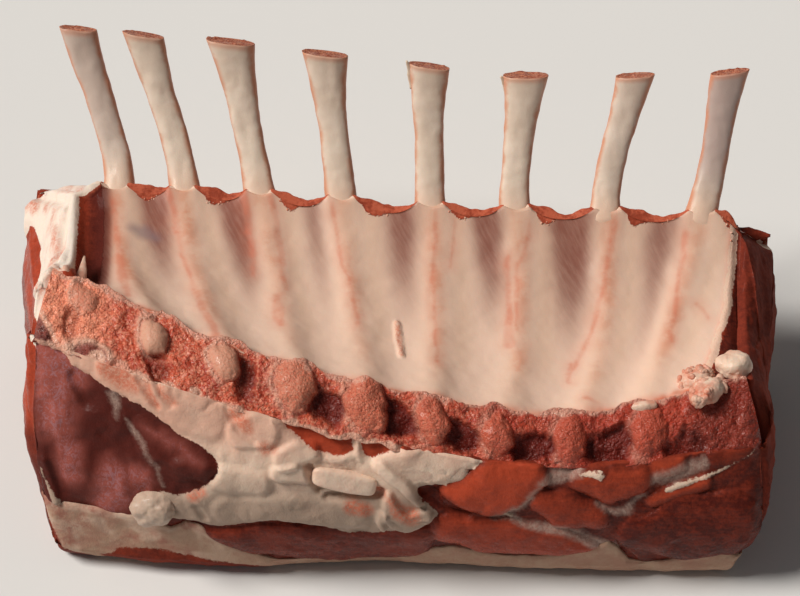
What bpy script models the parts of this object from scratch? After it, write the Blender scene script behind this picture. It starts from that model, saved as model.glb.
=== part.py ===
"""Raw rack of lamb with eight cleaned rib bones, lying on its fat side.

Metres, +Z up. The rack runs along X, from the shoulder end at -X to the loin end at +X.
The sawn backbone lies along the front (-Y) top edge, the hollow inner side of the ribs
faces up, and the bare rib ends rise to the back (+Y). The origin is the middle of the
rack's footprint, on the surface that it rests on.
"""
import math

import bmesh
import bpy
import numpy as np
from mathutils import Matrix, Vector

MM = 0.001
GAP = 0.35                   # mm of room between pieces that touch

# Driving sizes, in mm
CAP_THICKNESS = 4.2          # fat cap on the outer side
TOE_HEIGHT = 1.4             # the cap's rounded front corner, above the surface below
TOE_SHARE = 0.72             # how near that corner is to the front's low edge
SOLE_LEVEL = 1.25            # how far the resting side runs on level before it rises
TROUGH_SAG = 0.12            # hollow of the inner side, as a share of its width
CHINE_DEPTH = 8.5            # how deep the backbone sits in the meat
CHINE_TAPER = 1.5            # each side of the backbone narrows inwards by this
CHINE_PROUD = 1.6            # how far the backbone's sawn face stands out
KNOB_HEIGHT = 3.6            # sawn joint knobs above that face
KNOB_RADIUS = 5.2
KNOB_SIDE = 9.0              # from the backbone's high edge to a knob's middle
RIB_HALF_WIDTH = 4.6
RIB_HALF_THICK = 2.7
RIB_PROUD = 0.6              # rib surface above the inner side of the meat
RIB_START = 6.5              # from the backbone to where a rib begins
RIB_RISE = 60.0              # degrees, slope of the bare rib at its tip
RIB_WAIST = 0.12             # how much slimmer the bare rib is halfway, as a share
BED_SPARE = 0.06             # the bed starts this share of a step before the rib
SAW_SPARE = 6.0              # length sawn off each rib's tip
END_DOME = 4.0               # bulge of the two cut ends
DOME_RINGS = ((0.45, 1.0), (0.8, 0.7))   # share of the end section, share of the bulge

# Lines that run along the rack, in mm. Each has its X at the shoulder end and at the
# loin end, then Y and Z at even steps between them.
LINES = {
    "chine_low": ((-102, 104), (-32, -49, -58, -61, -55), (67, 60, 51, 45.5, 47)),
    "front_mid": ((-103, 105), (-51, -63, -66, -67, -66), (38, 33, 28, 26, 26)),
    "front_low": ((-99, 99), (-60.5, -65.5, -64, -66.5, -67), (7, 7, 7, 7, 7)),
    "floor_front": ((-100, 99), (-51, -56.5, -56, -58, -59), (0, 0, 0, 0, 0)),
    "floor_back": ((-111, 110), (12, 8, 2, 0, -2), (0, 0, 0, 0, 0)),
    "outer_mid": ((-113, 113), (41, 36.5, 28, 27, 25), (23, 22, 21, 21, 21)),
    "outer_top": ((-109, 112), (47, 42.5, 33, 33, 29), (45, 45, 45, 45, 45)),
    "inner_edge": ((-86, 101), (25, 23, 19.5, 17.5, 16), (63, 62, 61, 61, 61)),
    "chine_high": ((-97, 99), (-11, -33, -45, -48, -38), (73, 67, 60, 53, 58)),
}

# The eight ribs: X at the backbone, at the cleaned edge and at the tip, Y and Z of the
# tip, how wide the tip flares, all in mm, and the slope of its saw cut in degrees
RIBS = [
    (-66.9, -82.0, -94.0, 65.0, 94.0, 1.15, -7),
    (-46.5, -62.0, -74.5, 62.5, 94.0, 1.25, -11),
    (-26.5, -39.5, -48.5, 59.5, 94.0, 1.50, -8),
    (-7.7, -15.5, -20.5, 55.5, 93.0, 1.46, -8),
    (11.3, 10.5, 10.0, 51.5, 92.0, 1.30, -10),
    (30.4, 35.5, 38.5, 49.0, 90.5, 1.45, 0),
    (50.0, 62.0, 70.5, 49.0, 90.5, 1.22, 4),
    (71.4, 89.5, 98.5, 50.0, 91.0, 1.20, 9),
]
KNOB_X = (-87.0, -66.9, -46.5, -26.5, -7.7, 11.3, 30.4, 50.0, 71.4)

# Loose lumps of fat: the side they lie on, place along the rack and across that side
# (0 at the backbone, 1 at its far edge), half length, half width, half thickness in mm,
# and the turn of their length away from X in degrees
LUMPS = {
    "fat_nodule": ("front", 0.163, 0.64, 6.5, 5.0, 5.0, 20),
    "fat_strip": ("front", 0.427, 0.27, 9.5, 3.4, 3.4, -4),
    "fat_flap": ("front", 0.540, 0.14, 12.0, 3.4, 3.2, 8),
    "fat_clump": ("inner", 0.928, 0.12, 4.6, 4.2, 3.6, 0),
    "fat_block": ("inner", 0.985, 0.16, 4.8, 4.2, 3.8, 30),
}

STATIONS_MEAT = 27
STATIONS_CAP = 21
STATIONS_CHINE = 7
STATIONS_TROUGH = 10
STEPS_ACROSS_CHINE = 7
RIB_STEPS_IN = 7
RIB_STEPS_OUT = 7
RIB_SIDES = 10
FRONT_STEPS = 40

LEAN = (0.36, 0.075, 0.055, 1.0)
FAT = (0.78, 0.60, 0.48, 1.0)
BONE = (0.76, 0.62, 0.47, 1.0)
MARROW = (0.50, 0.13, 0.09, 1.0)


def remove_everything():
    for obj in list(bpy.data.objects):
        bpy.data.objects.remove(obj)


def collection(name):
    made = bpy.data.collections.new(name)
    bpy.context.scene.collection.children.link(made)
    return made


def material(name, colour, roughness):
    made = bpy.data.materials.new(name)
    made.use_nodes = True
    shader = made.node_tree.nodes["Principled BSDF"]
    shader.inputs["Base Color"].default_value = colour
    shader.inputs["Roughness"].default_value = roughness
    shader.inputs["Metallic"].default_value = 0.0
    return made


def bend(start, end, leave, arrive, s):
    """Point at s, 0 to 1, of a curve with the given steps at its start and its end."""
    return ((2 * s ** 3 - 3 * s ** 2 + 1) * start + (s ** 3 - 2 * s ** 2 + s) * leave
            + (3 * s ** 2 - 2 * s ** 3) * end + (s ** 3 - s ** 2) * arrive)


def spline(points, steps, leave=None):
    """Points on a smooth curve through the given points, without the last one."""
    pts = np.asarray(points, float)
    padded = np.vstack([2 * pts[0] - pts[1], pts, 2 * pts[-1] - pts[-2]])
    ways = (padded[2:] - padded[:-2]) / 2
    if leave is not None:
        ways[0] = leave
    out = []
    for i, count in enumerate(steps):
        for k in range(count):
            out.append(bend(pts[i], pts[i + 1], ways[i], ways[i + 1], k / count))
    return np.array(out)


def along(values, t):
    """Smooth value at t from 0 to 1 through values at even steps."""
    last = len(values) - 1
    i = min(int(t * last), last - 1)
    padded = [2 * values[0] - values[1], *values, 2 * values[-1] - values[-2]]
    before, start, end, after = padded[i:i + 4]
    return bend(start, end, (end - before) / 2, (after - start) / 2, t * last - i)


def line(name, t):
    """Point of a named line at t, with X growing evenly from end to end."""
    (x0, x1), ys, zs = LINES[name]
    return np.array([x0 + (x1 - x0) * t, along(ys, t), along(zs, t)])


def inward(points):
    """Unit normals in the YZ plane, into the meat, of a run that turns left."""
    tangent = np.gradient(points, axis=0)
    normal = np.column_stack([np.zeros(len(points)), -tangent[:, 2], tangent[:, 1]])
    return normal / np.linalg.norm(normal, axis=1)[:, None]


def across(a, b):
    """Step from a towards b that is 1 long in the YZ plane, and the normal to its left."""
    step = (b - a) / np.linalg.norm((b - a)[1:])
    return step, np.array([0.0, -step[2], step[1]])


def trough(t, w):
    """Inner side of the ribs: w runs from the backbone at 0 to the cleaned edge at 1."""
    a = line("chine_high", t)
    b = line("inner_edge", t)
    _, left = across(a, b)
    sag = TROUGH_SAG * np.linalg.norm((b - a)[1:])
    return a + (b - a) * w - left * (4 * sag * w * (1 - w))


def trough_at(x, w):
    """The same, at a given X."""
    x0 = LINES["chine_high"][0][0] * (1 - w) + LINES["inner_edge"][0][0] * w
    x1 = LINES["chine_high"][0][1] * (1 - w) + LINES["inner_edge"][0][1] * w
    return trough((x - x0) / (x1 - x0), w)


def outer_run(t):
    """Outer side of the fat cap, from the front's low edge round to the outer top."""
    low = line("front_low", t)
    front = line("floor_front", t)
    back = line("floor_back", t)
    corner = low * TOE_SHARE + front * (1 - TOE_SHARE)
    corner[2] = TOE_HEIGHT
    toe = spline([low, corner, front], [2, 2])
    sole = spline([front, back], [4])
    middle = line("outer_mid", t)
    level = np.array([middle[0] - back[0], SOLE_LEVEL * (middle[1] - back[1]), 0.0])
    rise = spline([back, middle, line("outer_top", t)], [5, 3], leave=level)
    return np.vstack([toe, sole, rise, line("outer_top", t)])


def meat_ring(t):
    """One section of the meat: front, under the cap, cut edge, trough and groove."""
    low = line("front_low", t)
    front = spline([line("chine_low", t), line("front_mid", t), low], [5, 4])
    outer = outer_run(t)
    inner = outer + inward(outer) * (CAP_THICKNESS + GAP)
    shelf = low + np.array([0.0, 0.0, GAP])
    edge = spline([inner[-1], line("inner_edge", t)], [3])[1:]
    hollow = [trough(t, w) for w in np.linspace(1, 0, STATIONS_TROUGH)]
    high = line("chine_high", t)
    chine_low = line("chine_low", t)
    step, left = across(high, chine_low)
    groove = [high + left * CHINE_DEPTH + step * CHINE_TAPER,
              chine_low + left * CHINE_DEPTH - step * CHINE_TAPER]
    return np.vstack([front, shelf, inner[:1] + [0, 0, GAP], inner[1:], edge, hollow, groove])


def cap_ring(t):
    """One section of the fat cap, out along its outer side and back along its inner."""
    outer = outer_run(t)
    inner = outer + inward(outer) * CAP_THICKNESS
    return np.vstack([outer, inner[::-1]])


def knob(x, side, knob_x):
    """Height of a sawn joint knob over the backbone's face, at a place on that face."""
    if knob_x is None:
        return 0.0
    away = math.hypot(x - knob_x, side - KNOB_SIDE) / KNOB_RADIUS
    return KNOB_HEIGHT * max(0.0, 1 - away ** 2) ** 0.5


def chine_ring(x, knob_x):
    """One section of a backbone piece, with the knob if the section crosses it."""
    (x0, x1) = LINES["chine_low"][0]
    t = (x - x0) / (x1 - x0)
    high = line("chine_high", t)
    low = line("chine_low", t)
    step, left = across(high, low)
    width = np.linalg.norm((low - high)[1:])
    face = []
    for side in np.linspace(0, 1, STEPS_ACROSS_CHINE):
        out = CHINE_PROUD * math.sin(math.pi * side) + knob(x, side * width, knob_x)
        spread = GAP + side * (width - 2 * GAP)
        along_face = high + (low - high) * (spread / width)
        face.append(along_face - left * out)
    foot = [low + left * (CHINE_DEPTH - GAP) - step * (CHINE_TAPER + GAP),
            high + left * (CHINE_DEPTH - GAP) + step * (CHINE_TAPER + GAP)]
    return np.vstack([face, foot])


def domed(ring, side):
    """Two smaller sections past an end, at -X or +X as side is -1 or 1, outermost first."""
    middle = ring.mean(axis=0)
    return [middle + (ring - middle) * share + [side * END_DOME * push, 0, 0]
            for share, push in DOME_RINGS]


def loft(name, rings, home, look):
    """A closed solid through sections with equal numbers of points."""
    bm = bmesh.new()
    rows = [[bm.verts.new(point * MM) for point in ring] for ring in rings]
    count = len(rows[0])
    for here, there in zip(rows, rows[1:]):
        for k in range(count):
            n = (k + 1) % count
            bm.faces.new((here[k], here[n], there[n], there[k]))
    bm.faces.new(rows[0])
    bm.faces.new(rows[-1])
    bmesh.ops.recalc_face_normals(bm, faces=bm.faces)
    mesh = bpy.data.meshes.new(name)
    bm.to_mesh(mesh)
    bm.free()
    mesh.shade_smooth()
    mesh.set_sharp_from_angle(angle=math.radians(40))
    obj = bpy.data.objects.new(name, mesh)
    obj.data.materials.append(look)
    home.objects.link(obj)
    return obj


def rib_route(index):
    """Centre line of a rib with its size at each point: under the skin, then bare."""
    x_chine, x_edge, x_tip, y_tip, z_tip, flare, _ = RIBS[index]
    width = np.linalg.norm(trough_at(x_edge, 1.0) - trough_at(x_chine, 0.0))
    inside = []
    for w in np.linspace(RIB_START / width, 1.0, RIB_STEPS_IN):
        here = trough_at(x_chine + (x_edge - x_chine) * w, w)
        near = trough_at(x_chine + (x_edge - x_chine) * (w - 0.02), w - 0.02)
        step = (here - near) / np.linalg.norm(here - near)
        down = np.array([0.0, step[2], -step[1]])
        inside.append(here + down * (RIB_HALF_THICK - RIB_PROUD))
    start = inside[-1]
    way_in = (inside[-1] - inside[-2]) / np.linalg.norm(inside[-1] - inside[-2])
    tip = np.array([x_tip, y_tip, z_tip])
    reach = np.linalg.norm(tip - start)
    rise = math.radians(RIB_RISE)
    way_out = np.array([(x_tip - x_edge) / reach, math.cos(rise), math.sin(rise)])
    outside = [bend(start, tip, reach * way_in, reach * way_out, s)
               for s in np.linspace(0, 1, RIB_STEPS_OUT)[1:]]
    outside.append(tip + way_out * SAW_SPARE)
    sizes = [1.0] * len(inside)
    for k in range(1, RIB_STEPS_OUT):
        s = k / (RIB_STEPS_OUT - 1)
        sizes.append(1.0 - RIB_WAIST * math.sin(math.pi * s) + (flare - 1.0) * s ** 3)
    sizes.append(sizes[-1])
    return np.array(inside + outside), sizes


def hide(obj):
    """Marks a cutter or a guide, which isn't part of the rack."""
    obj.hide_render = True
    obj.display_type = "WIRE"
    return obj


def oval(name, half_width, half_thick, home):
    """Closed oval outline, the section of a rib."""
    data = bpy.data.curves.new(name, "CURVE")
    data.dimensions = "2D"
    ring = data.splines.new("POLY")
    ring.points.add(RIB_SIDES - 1)
    for k, point in enumerate(ring.points):
        angle = 2 * math.pi * (k + 0.5) / RIB_SIDES
        point.co = (half_width * MM * math.cos(angle), half_thick * MM * math.sin(angle), 0, 1)
    ring.use_cyclic_u = True
    obj = bpy.data.objects.new(name, data)
    home.objects.link(obj)
    return hide(obj)


def rod(name, points, sizes, section, home, saw=None):
    """A closed mesh of a section swept along points, sawn off at a point and normal."""
    data = bpy.data.curves.new(name, "CURVE")
    data.dimensions = "3D"
    data.twist_mode = "Z_UP"
    run = data.splines.new("POLY")
    run.points.add(len(points) - 1)
    for point, place, size in zip(run.points, points, sizes):
        point.co = (*(place * MM), 1)
        point.radius = size
    data.bevel_mode = "OBJECT"
    data.bevel_object = section
    data.use_fill_caps = True
    curve = bpy.data.objects.new(name + "_route", data)
    home.objects.link(curve)
    bpy.context.view_layer.update()
    graph = bpy.context.evaluated_depsgraph_get()
    mesh = bpy.data.meshes.new_from_object(curve.evaluated_get(graph))
    bm = bmesh.new()
    bm.from_mesh(mesh)
    bmesh.ops.remove_doubles(bm, verts=bm.verts, dist=1e-6)
    if saw:
        everything = bm.verts[:] + bm.edges[:] + bm.faces[:]
        cut = bmesh.ops.bisect_plane(bm, geom=everything, plane_co=saw[0] * MM,
                                     plane_no=saw[1], clear_outer=True)
        rim = [e for e in cut["geom_cut"] if isinstance(e, bmesh.types.BMEdge)]
        bmesh.ops.edgeloop_fill(bm, edges=rim)
    bmesh.ops.recalc_face_normals(bm, faces=bm.faces)
    bm.to_mesh(mesh)
    bm.free()
    mesh.name = name
    mesh.shade_smooth()
    mesh.set_sharp_from_angle(angle=math.radians(50))
    obj = bpy.data.objects.new(name, mesh)
    obj.matrix_world = curve.matrix_world
    home.objects.link(obj)
    bpy.data.objects.remove(curve)
    return obj


def make_ribs(rack, cutters, look):
    """The eight ribs, and a cutter a little larger than each for its bed."""
    section = oval("rib_section", RIB_HALF_WIDTH, RIB_HALF_THICK, cutters)
    bed_section = oval("rib_bed_section", RIB_HALF_WIDTH + GAP, RIB_HALF_THICK + GAP, cutters)
    beds = []
    for index in range(len(RIBS)):
        points, sizes = rib_route(index)
        slope = math.radians(RIBS[index][6])
        way = (points[-1] - points[-2]) / np.linalg.norm(points[-1] - points[-2])
        across_tip = np.array([math.cos(slope), 0.0, math.sin(slope)])
        normal = np.cross(across_tip, np.cross(way, across_tip))
        rib = rod(f"rib_{index + 1}", points, sizes, section, rack, (points[-2], normal))
        rib.data.materials.append(look)
        first = points[0] - (points[1] - points[0]) * BED_SPARE
        bed = rod(f"rib_bed_{index + 1}", np.vstack([first, points[1:]]), sizes,
                  bed_section, cutters)
        beds.append(hide(bed))
    return beds


def front_face(t, w):
    """Front side of the meat: w runs from the backbone at 0 to the low edge at 1."""
    half = FRONT_STEPS // 2
    run = spline([line("chine_low", t), line("front_mid", t), line("front_low", t)],
                 [half, half])
    return run[min(int(w * FRONT_STEPS), FRONT_STEPS - 1)]


def lump_place(side, t, w, turn):
    """Where a lump lies: its X along the rack, its Z straight out of that side."""
    surface = front_face if side == "front" else trough
    middle = surface(t, w)
    run = surface(t + 0.02, w) - middle
    fall = surface(t, w + 0.06) - middle
    out = np.cross(fall, run) if side == "front" else np.cross(run, fall)
    out /= np.linalg.norm(out)
    run -= out * np.dot(run, out)
    run /= np.linalg.norm(run)
    frame = Matrix(np.column_stack([run, np.cross(out, run), out]).tolist()).to_4x4()
    turned = Matrix.Rotation(math.radians(turn), 4, "Z")
    return Matrix.Translation(middle * MM) @ frame @ turned


def lump(name, halves, place, home):
    bm = bmesh.new()
    bmesh.ops.create_uvsphere(bm, u_segments=12, v_segments=8, radius=1.0)
    bmesh.ops.scale(bm, vec=Vector(halves) * MM, verts=bm.verts)
    mesh = bpy.data.meshes.new(name)
    bm.to_mesh(mesh)
    bm.free()
    mesh.shade_smooth()
    obj = bpy.data.objects.new(name, mesh)
    obj.matrix_world = place
    home.objects.link(obj)
    return obj


def make_lumps(rack, cutters, look):
    """Loose lumps of fat, each half sunk in the meat, and a cutter for its seat."""
    seats = []
    for name, (side, t, w, long, wide, thick, turn) in LUMPS.items():
        place = lump_place(side, t, w, turn)
        fat = lump(name, (long, wide, thick), place, rack)
        fat.data.materials.append(look)
        roomy = (long + GAP, wide + GAP, thick + GAP)
        seats.append(hide(lump(name + "_seat", roomy, place, cutters)))
    return seats


def make_meat(rack, beds, look):
    """The boned side of the loin and flank, with a bed cut for each rib and lump."""
    rings = [meat_ring(t) for t in np.linspace(0, 1, STATIONS_MEAT)]
    shoulder = domed(rings[0], -1)
    loin = domed(rings[-1], 1)
    meat = loft("meat", [*shoulder, *rings, *loin[::-1]], rack, look)
    for bed in beds:
        cut = meat.modifiers.new(bed.name, "BOOLEAN")
        cut.operation = "DIFFERENCE"
        cut.solver = "EXACT"
        cut.object = bed
    return meat


def make_cap(rack, look):
    """The layer of fat under the rack and up its outer side."""
    steps = np.linspace(0, 1, STATIONS_CAP)
    return loft("fat_cap", [cap_ring(t) for t in steps], rack, look)


def make_chine(rack, look):
    """The sawn backbone: one piece for each vertebra, all but the last with a knob."""
    (x0, x1) = LINES["chine_low"][0]
    middles = [(a + b) / 2 for a, b in zip(KNOB_X, KNOB_X[1:])]
    pitch = KNOB_X[-1] - KNOB_X[-2]
    joints = [x0, *middles, KNOB_X[-1] + pitch / 2, x1]
    for index, knob_x in enumerate([*KNOB_X, None]):
        sections = np.linspace(joints[index] + GAP / 2, joints[index + 1] - GAP / 2,
                               STATIONS_CHINE)
        loft(f"chine_{index + 1}", [chine_ring(x, knob_x) for x in sections], rack, look)


def main():
    remove_everything()
    rack = collection("rack_of_lamb")
    cutters = collection("cutters")
    lean = material("lean_meat", LEAN, 0.35)
    fat = material("fat", FAT, 0.4)
    bone = material("bone", BONE, 0.45)
    marrow = material("sawn_bone", MARROW, 0.5)
    beds = make_ribs(rack, cutters, bone)
    seats = make_lumps(rack, cutters, fat)
    make_meat(rack, beds + seats, lean)
    make_cap(rack, fat)
    make_chine(rack, marrow)


main()
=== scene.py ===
"""Looks of a raw rack of lamb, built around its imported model.

Run as a script. It makes the meat with its fat and its lining, the fat cap, the cleaned
ribs, the sawn backbone, the loose lumps of fat, small scraps, a floor, lights and a camera.

Tables are in mm in the model's frame: X runs along the rack from the shoulder end to the
loin end, Y from the backbone to the bare rib ends, and Z up from the resting side.
"""

import itertools
import math

import bpy
import numpy as np
from bpy.props import FloatProperty, FloatVectorProperty, IntProperty, PointerProperty
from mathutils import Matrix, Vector


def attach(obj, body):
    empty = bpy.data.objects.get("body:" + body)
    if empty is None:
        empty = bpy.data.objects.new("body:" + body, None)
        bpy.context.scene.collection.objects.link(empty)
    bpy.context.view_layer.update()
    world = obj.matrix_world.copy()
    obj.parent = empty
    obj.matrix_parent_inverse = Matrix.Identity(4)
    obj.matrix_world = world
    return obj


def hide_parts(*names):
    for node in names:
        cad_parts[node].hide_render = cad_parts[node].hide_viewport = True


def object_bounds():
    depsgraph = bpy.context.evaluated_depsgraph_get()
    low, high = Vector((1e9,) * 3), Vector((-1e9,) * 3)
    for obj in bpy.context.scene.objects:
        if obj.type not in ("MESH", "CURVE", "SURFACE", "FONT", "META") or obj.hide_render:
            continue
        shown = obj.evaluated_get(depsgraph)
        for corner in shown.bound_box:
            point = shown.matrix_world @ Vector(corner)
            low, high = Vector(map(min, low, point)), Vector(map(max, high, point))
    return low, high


bl_info = {
    "name": "Raw rack of lamb",
    "version": (1, 0, 0),
    "blender": (4, 5, 0),
    "location": "3D View > Sidebar > Lamb rack",
    "description": "Builds the surfaces of a raw rack of lamb around its solid model",
    "category": "Object",
}

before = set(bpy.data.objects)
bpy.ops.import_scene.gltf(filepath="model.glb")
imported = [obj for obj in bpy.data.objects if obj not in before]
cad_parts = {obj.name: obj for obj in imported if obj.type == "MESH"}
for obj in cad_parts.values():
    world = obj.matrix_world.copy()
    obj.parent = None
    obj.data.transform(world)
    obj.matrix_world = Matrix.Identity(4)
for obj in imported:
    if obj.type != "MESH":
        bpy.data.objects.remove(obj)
CAD_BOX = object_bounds()
MM = 0.001

# ---------------------------------------------------------------------------------------
# The model's own lines and sizes, in mm

GAP = 0.35
CAP_THICKNESS = 4.2
TOE_HEIGHT = 1.4
TOE_SHARE = 0.72
SOLE_LEVEL = 1.25
TROUGH_SAG = 0.12
CHINE_DEPTH = 8.5
CHINE_PROUD = 1.6
RIB_HALF_WIDTH = 4.6
RIB_HALF_THICK = 2.7
RIB_PROUD = 0.6
RIB_START = 6.5
RIB_RISE = 60.0
RIB_WAIST = 0.12
END_DOME = 4.0

LINES = {
    "chine_low": ((-102, 104), (-32, -49, -58, -61, -55), (67, 60, 51, 45.5, 47)),
    "front_mid": ((-103, 105), (-51, -63, -66, -67, -66), (38, 33, 28, 26, 26)),
    "front_low": ((-99, 99), (-60.5, -65.5, -64, -66.5, -67), (7, 7, 7, 7, 7)),
    "floor_front": ((-100, 99), (-51, -56.5, -56, -58, -59), (0, 0, 0, 0, 0)),
    "floor_back": ((-111, 110), (12, 8, 2, 0, -2), (0, 0, 0, 0, 0)),
    "outer_mid": ((-113, 113), (41, 36.5, 28, 27, 25), (23, 22, 21, 21, 21)),
    "outer_top": ((-109, 112), (47, 42.5, 33, 33, 29), (45, 45, 45, 45, 45)),
    "inner_edge": ((-86, 101), (25, 23, 19.5, 17.5, 16), (63, 62, 61, 61, 61)),
    "chine_high": ((-97, 99), (-11, -33, -45, -48, -38), (73, 67, 60, 53, 58)),
}

# X at the backbone, at the cleaned edge and at the tip, Y and Z of the tip, how wide the
# tip flares, and the slope of its saw cut in degrees
RIBS = [
    (-66.9, -82.0, -94.0, 65.0, 94.0, 1.15, -7),
    (-46.5, -62.0, -74.5, 62.5, 94.0, 1.25, -11),
    (-26.5, -39.5, -48.5, 59.5, 94.0, 1.50, -8),
    (-7.7, -15.5, -20.5, 55.5, 93.0, 1.46, -8),
    (11.3, 10.5, 10.0, 51.5, 92.0, 1.30, -10),
    (30.4, 35.5, 38.5, 49.0, 90.5, 1.45, 0),
    (50.0, 62.0, 70.5, 49.0, 90.5, 1.22, 4),
    (71.4, 89.5, 98.5, 50.0, 91.0, 1.20, 9),
]
KNOB_X = (-87.0, -66.9, -46.5, -26.5, -7.7, 11.3, 30.4, 50.0, 71.4)
# the sawn backbone's knobs: X, distance in from the hollow side, radius along X and across,
# height, and how pale
KNOBS = (
    (-88.0, 5.5, 3.4, 3.6, 1.5, 0.60), (-67.6, 6.6, 4.1, 4.1, 3.2, 1.00),
    (-47.3, 6.0, 4.5, 4.9, 3.2, 0.80), (-27.6, 6.0, 6.0, 7.2, 3.0, 0.50),
    (-7.9, 5.6, 5.9, 7.4, 3.0, 0.30), (10.6, 6.4, 4.7, 6.0, 2.8, 0.25),
    (29.2, 6.9, 4.8, 5.8, 2.6, 0.15), (49.6, 7.2, 4.9, 6.1, 2.4, 0.10),
    (71.4, 8.5, 5.2, 6.2, 2.2, 0.05),
)
# and its hollows: X, distance in, radius along X and across, depth, and how dark they are painted
# (dark tissue with painted shade)
PITS = (
    (-91.0, 13.5, 2.2, 4.5, 1.4, 0.30), (-66.0, 13.7, 4.0, 3.6, 1.8, 0.50),
    (-41.5, 7.8, 3.2, 6.4, 2.0, 0.70), (-19.0, 8.8, 6.0, 5.0, 2.4, 0.90),
    (1.0, 8.0, 6.2, 5.2, 2.8, 1.00), (19.8, 9.2, 6.0, 4.6, 2.6, 0.90),
    (39.0, 9.6, 6.9, 4.9, 2.8, 1.00), (60.0, 10.0, 6.7, 6.2, 2.8, 1.00),
    (83.0, 15.0, 6.5, 5.0, 1.6, 0.80),
)
# how far each rib lies sideways from a straight line under the lining: at the backbone,
# and halfway
RIB_BOWS = ((-1.0, -4.3), (0.0, -3.0), (0.0, -0.5), (0.0, 0.0), (0.0, 0.8), (1.5, 2.8),
            (2.5, 3.5), (0.0, 0.0))

# ---------------------------------------------------------------------------------------
# What lies on the front, as X and Z. A spine is a chain of round blobs (a, b, radius).

FAT_SHEET = [
    (-94, 70), (-91, 63.5), (-84, 60.8), (-77, 58.3), (-68, 55.5), (-60, 50.8), (-54, 48.5),
    (-49.5, 45), (-50.5, 41), (-55, 36.5), (-61, 33.8), (-66, 34), (-70, 29), (-66, 24),
    (-58, 24.6), (-50, 23.3), (-41, 26), (-33, 28), (-22, 25.6), (-12, 23.6), (-2, 24.2),
    (7, 26), (12, 30), (10.5, 33.5), (7.5, 35.5), (6.5, 38.5), (10, 40), (14, 41),
    (19, 44.5), (25, 48.5), (26, 60), (-30, 72), (-70, 80),
]
FAT_WINDOWS = [
    [(-26, 58, 4.6), (-20.5, 54.5, 5.0), (-14.5, 51.8, 4.0)],
    [(-7.0, 50.8, 2.4), (-2.5, 52.4, 3.0), (5, 54.8, 2.2)],
]
# tone of the lean from 0 (dark) to 1 (bright), bulge in mm, spine
MUSCLES = [
    (0.25, 1.1, [(-68, 49, 5.5), (-61, 46, 7.5), (-55, 45, 5)]),
    (1.00, 2.4, [(19, 37.5, 5.5), (28, 40, 8.5), (37, 42.5, 5.5)]),
    (0.55, 2.0, [(41, 35.5, 3.0), (48, 32.5, 6.2), (57, 29.5, 4)]),
    (0.70, 2.0, [(53, 42, 3), (61, 40, 5.2), (68, 41, 4)]),
    (0.62, 2.0, [(17, 24, 6), (30, 21, 8.5), (45, 19, 7), (55, 17.5, 3)]),
    (0.22, 1.6, [(-52, 19, 2.5), (-38, 18, 7.5), (-15, 15.5, 9.5), (2, 16, 8.5), (8, 21, 4)]),
    (0.05, 0.0, [(10, 37.5, 2.6), (15, 34.5, 3.0), (19, 32, 2.0)]),
    (0.10, 1.8, [(71, 23, 7), (83, 23, 12.5), (94, 24, 12)]),
    (0.75, 1.3, [(74, 43.2, 2.4), (79, 44.4, 2.6)]),
    (0.85, 1.5, [(73.5, 35.2, 1.6), (80, 37.0, 2.0), (88, 39.0, 1.4)]),
    (0.30, 0.8, [(92, 46, 3.0), (100, 48, 3.0)]),
]
SILVER = [
    [(-79, 58, 1.4), (-77.5, 55, 0.9), (-78.5, 52, 0.1)],
    [(-75.5, 52, 0.3), (-73.5, 49, 1.0), (-72, 47.5, 0.6), (-68.5, 43.5, 0.1),
     (-66.5, 40.5, 0.1), (-65, 36, 0.2)],
    [(27.5, 30.6, 0.5), (31.5, 31.2, 1.3), (36, 27.8, 0.8), (42, 26.4, 1.3), (48, 25.6, 1.7),
     (54, 22, 1.3), (62, 16.5, 2.4)],
    [(31.5, 31.5, 1.0), (36, 35.2, 1.0), (40.5, 40, 0.6)],
    [(41, 41.5, 1.2), (46, 43.5, 2.6), (51, 45.5, 2.2)],
    [(73, 40.6, 1.2), (79, 41.6, 2.2), (87, 43.6, 1.5)],
    [(57, 34.5, 0.4), (62, 32, 0.8), (66, 31.5, 1.3), (68, 34.5, 0.6), (71, 37, 0.4)],
]
FAT_LINES = [
    [(76.5, 37.6, 0.5), (80, 38.9, 0.8), (86, 40.2, 0.4), (91, 41.6, 0.4), (97, 44, 0.1),
     (103, 47, 0.0)],
    [(52, 43.6, 0.3), (55, 44.4, 0.7), (57.4, 44.4, 1.0), (57.6, 43.0, 0.4)],
    [(-101.5, 35, 0.0), (-100.5, 31, 0.3), (-99, 28, 0.6), (-97, 24.5, 1.2)],
    [(-11.0, 56, 1.0), (-11, 51, 0.9), (-9.5, 47, 0.7)],
    [(-3, 45, 2.0), (2.5, 41, 1.6), (6.8, 35.4, 1.1)],
    [(31.2, 31.2, 0.5), (33.0, 30.4, 0.7)],
]
VIOLET = [
    [(-96, 58, 4.5), (-96, 48, 3.5)], [(-93.5, 42, 1.2), (-92, 35, 1.4)],
    [(-70, 51, -2.0), (-62, 48, -1.0), (-56, 45, -1.5)],
    [(-79, 37, 2.0), (-80.5, 30, 3.0), (-83, 26, 2.2)], [(-72, 37, 1.6), (-72.5, 33, 1.2)],
    [(-97, 66, 4.0), (-90, 61, 2.0)],
]
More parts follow.
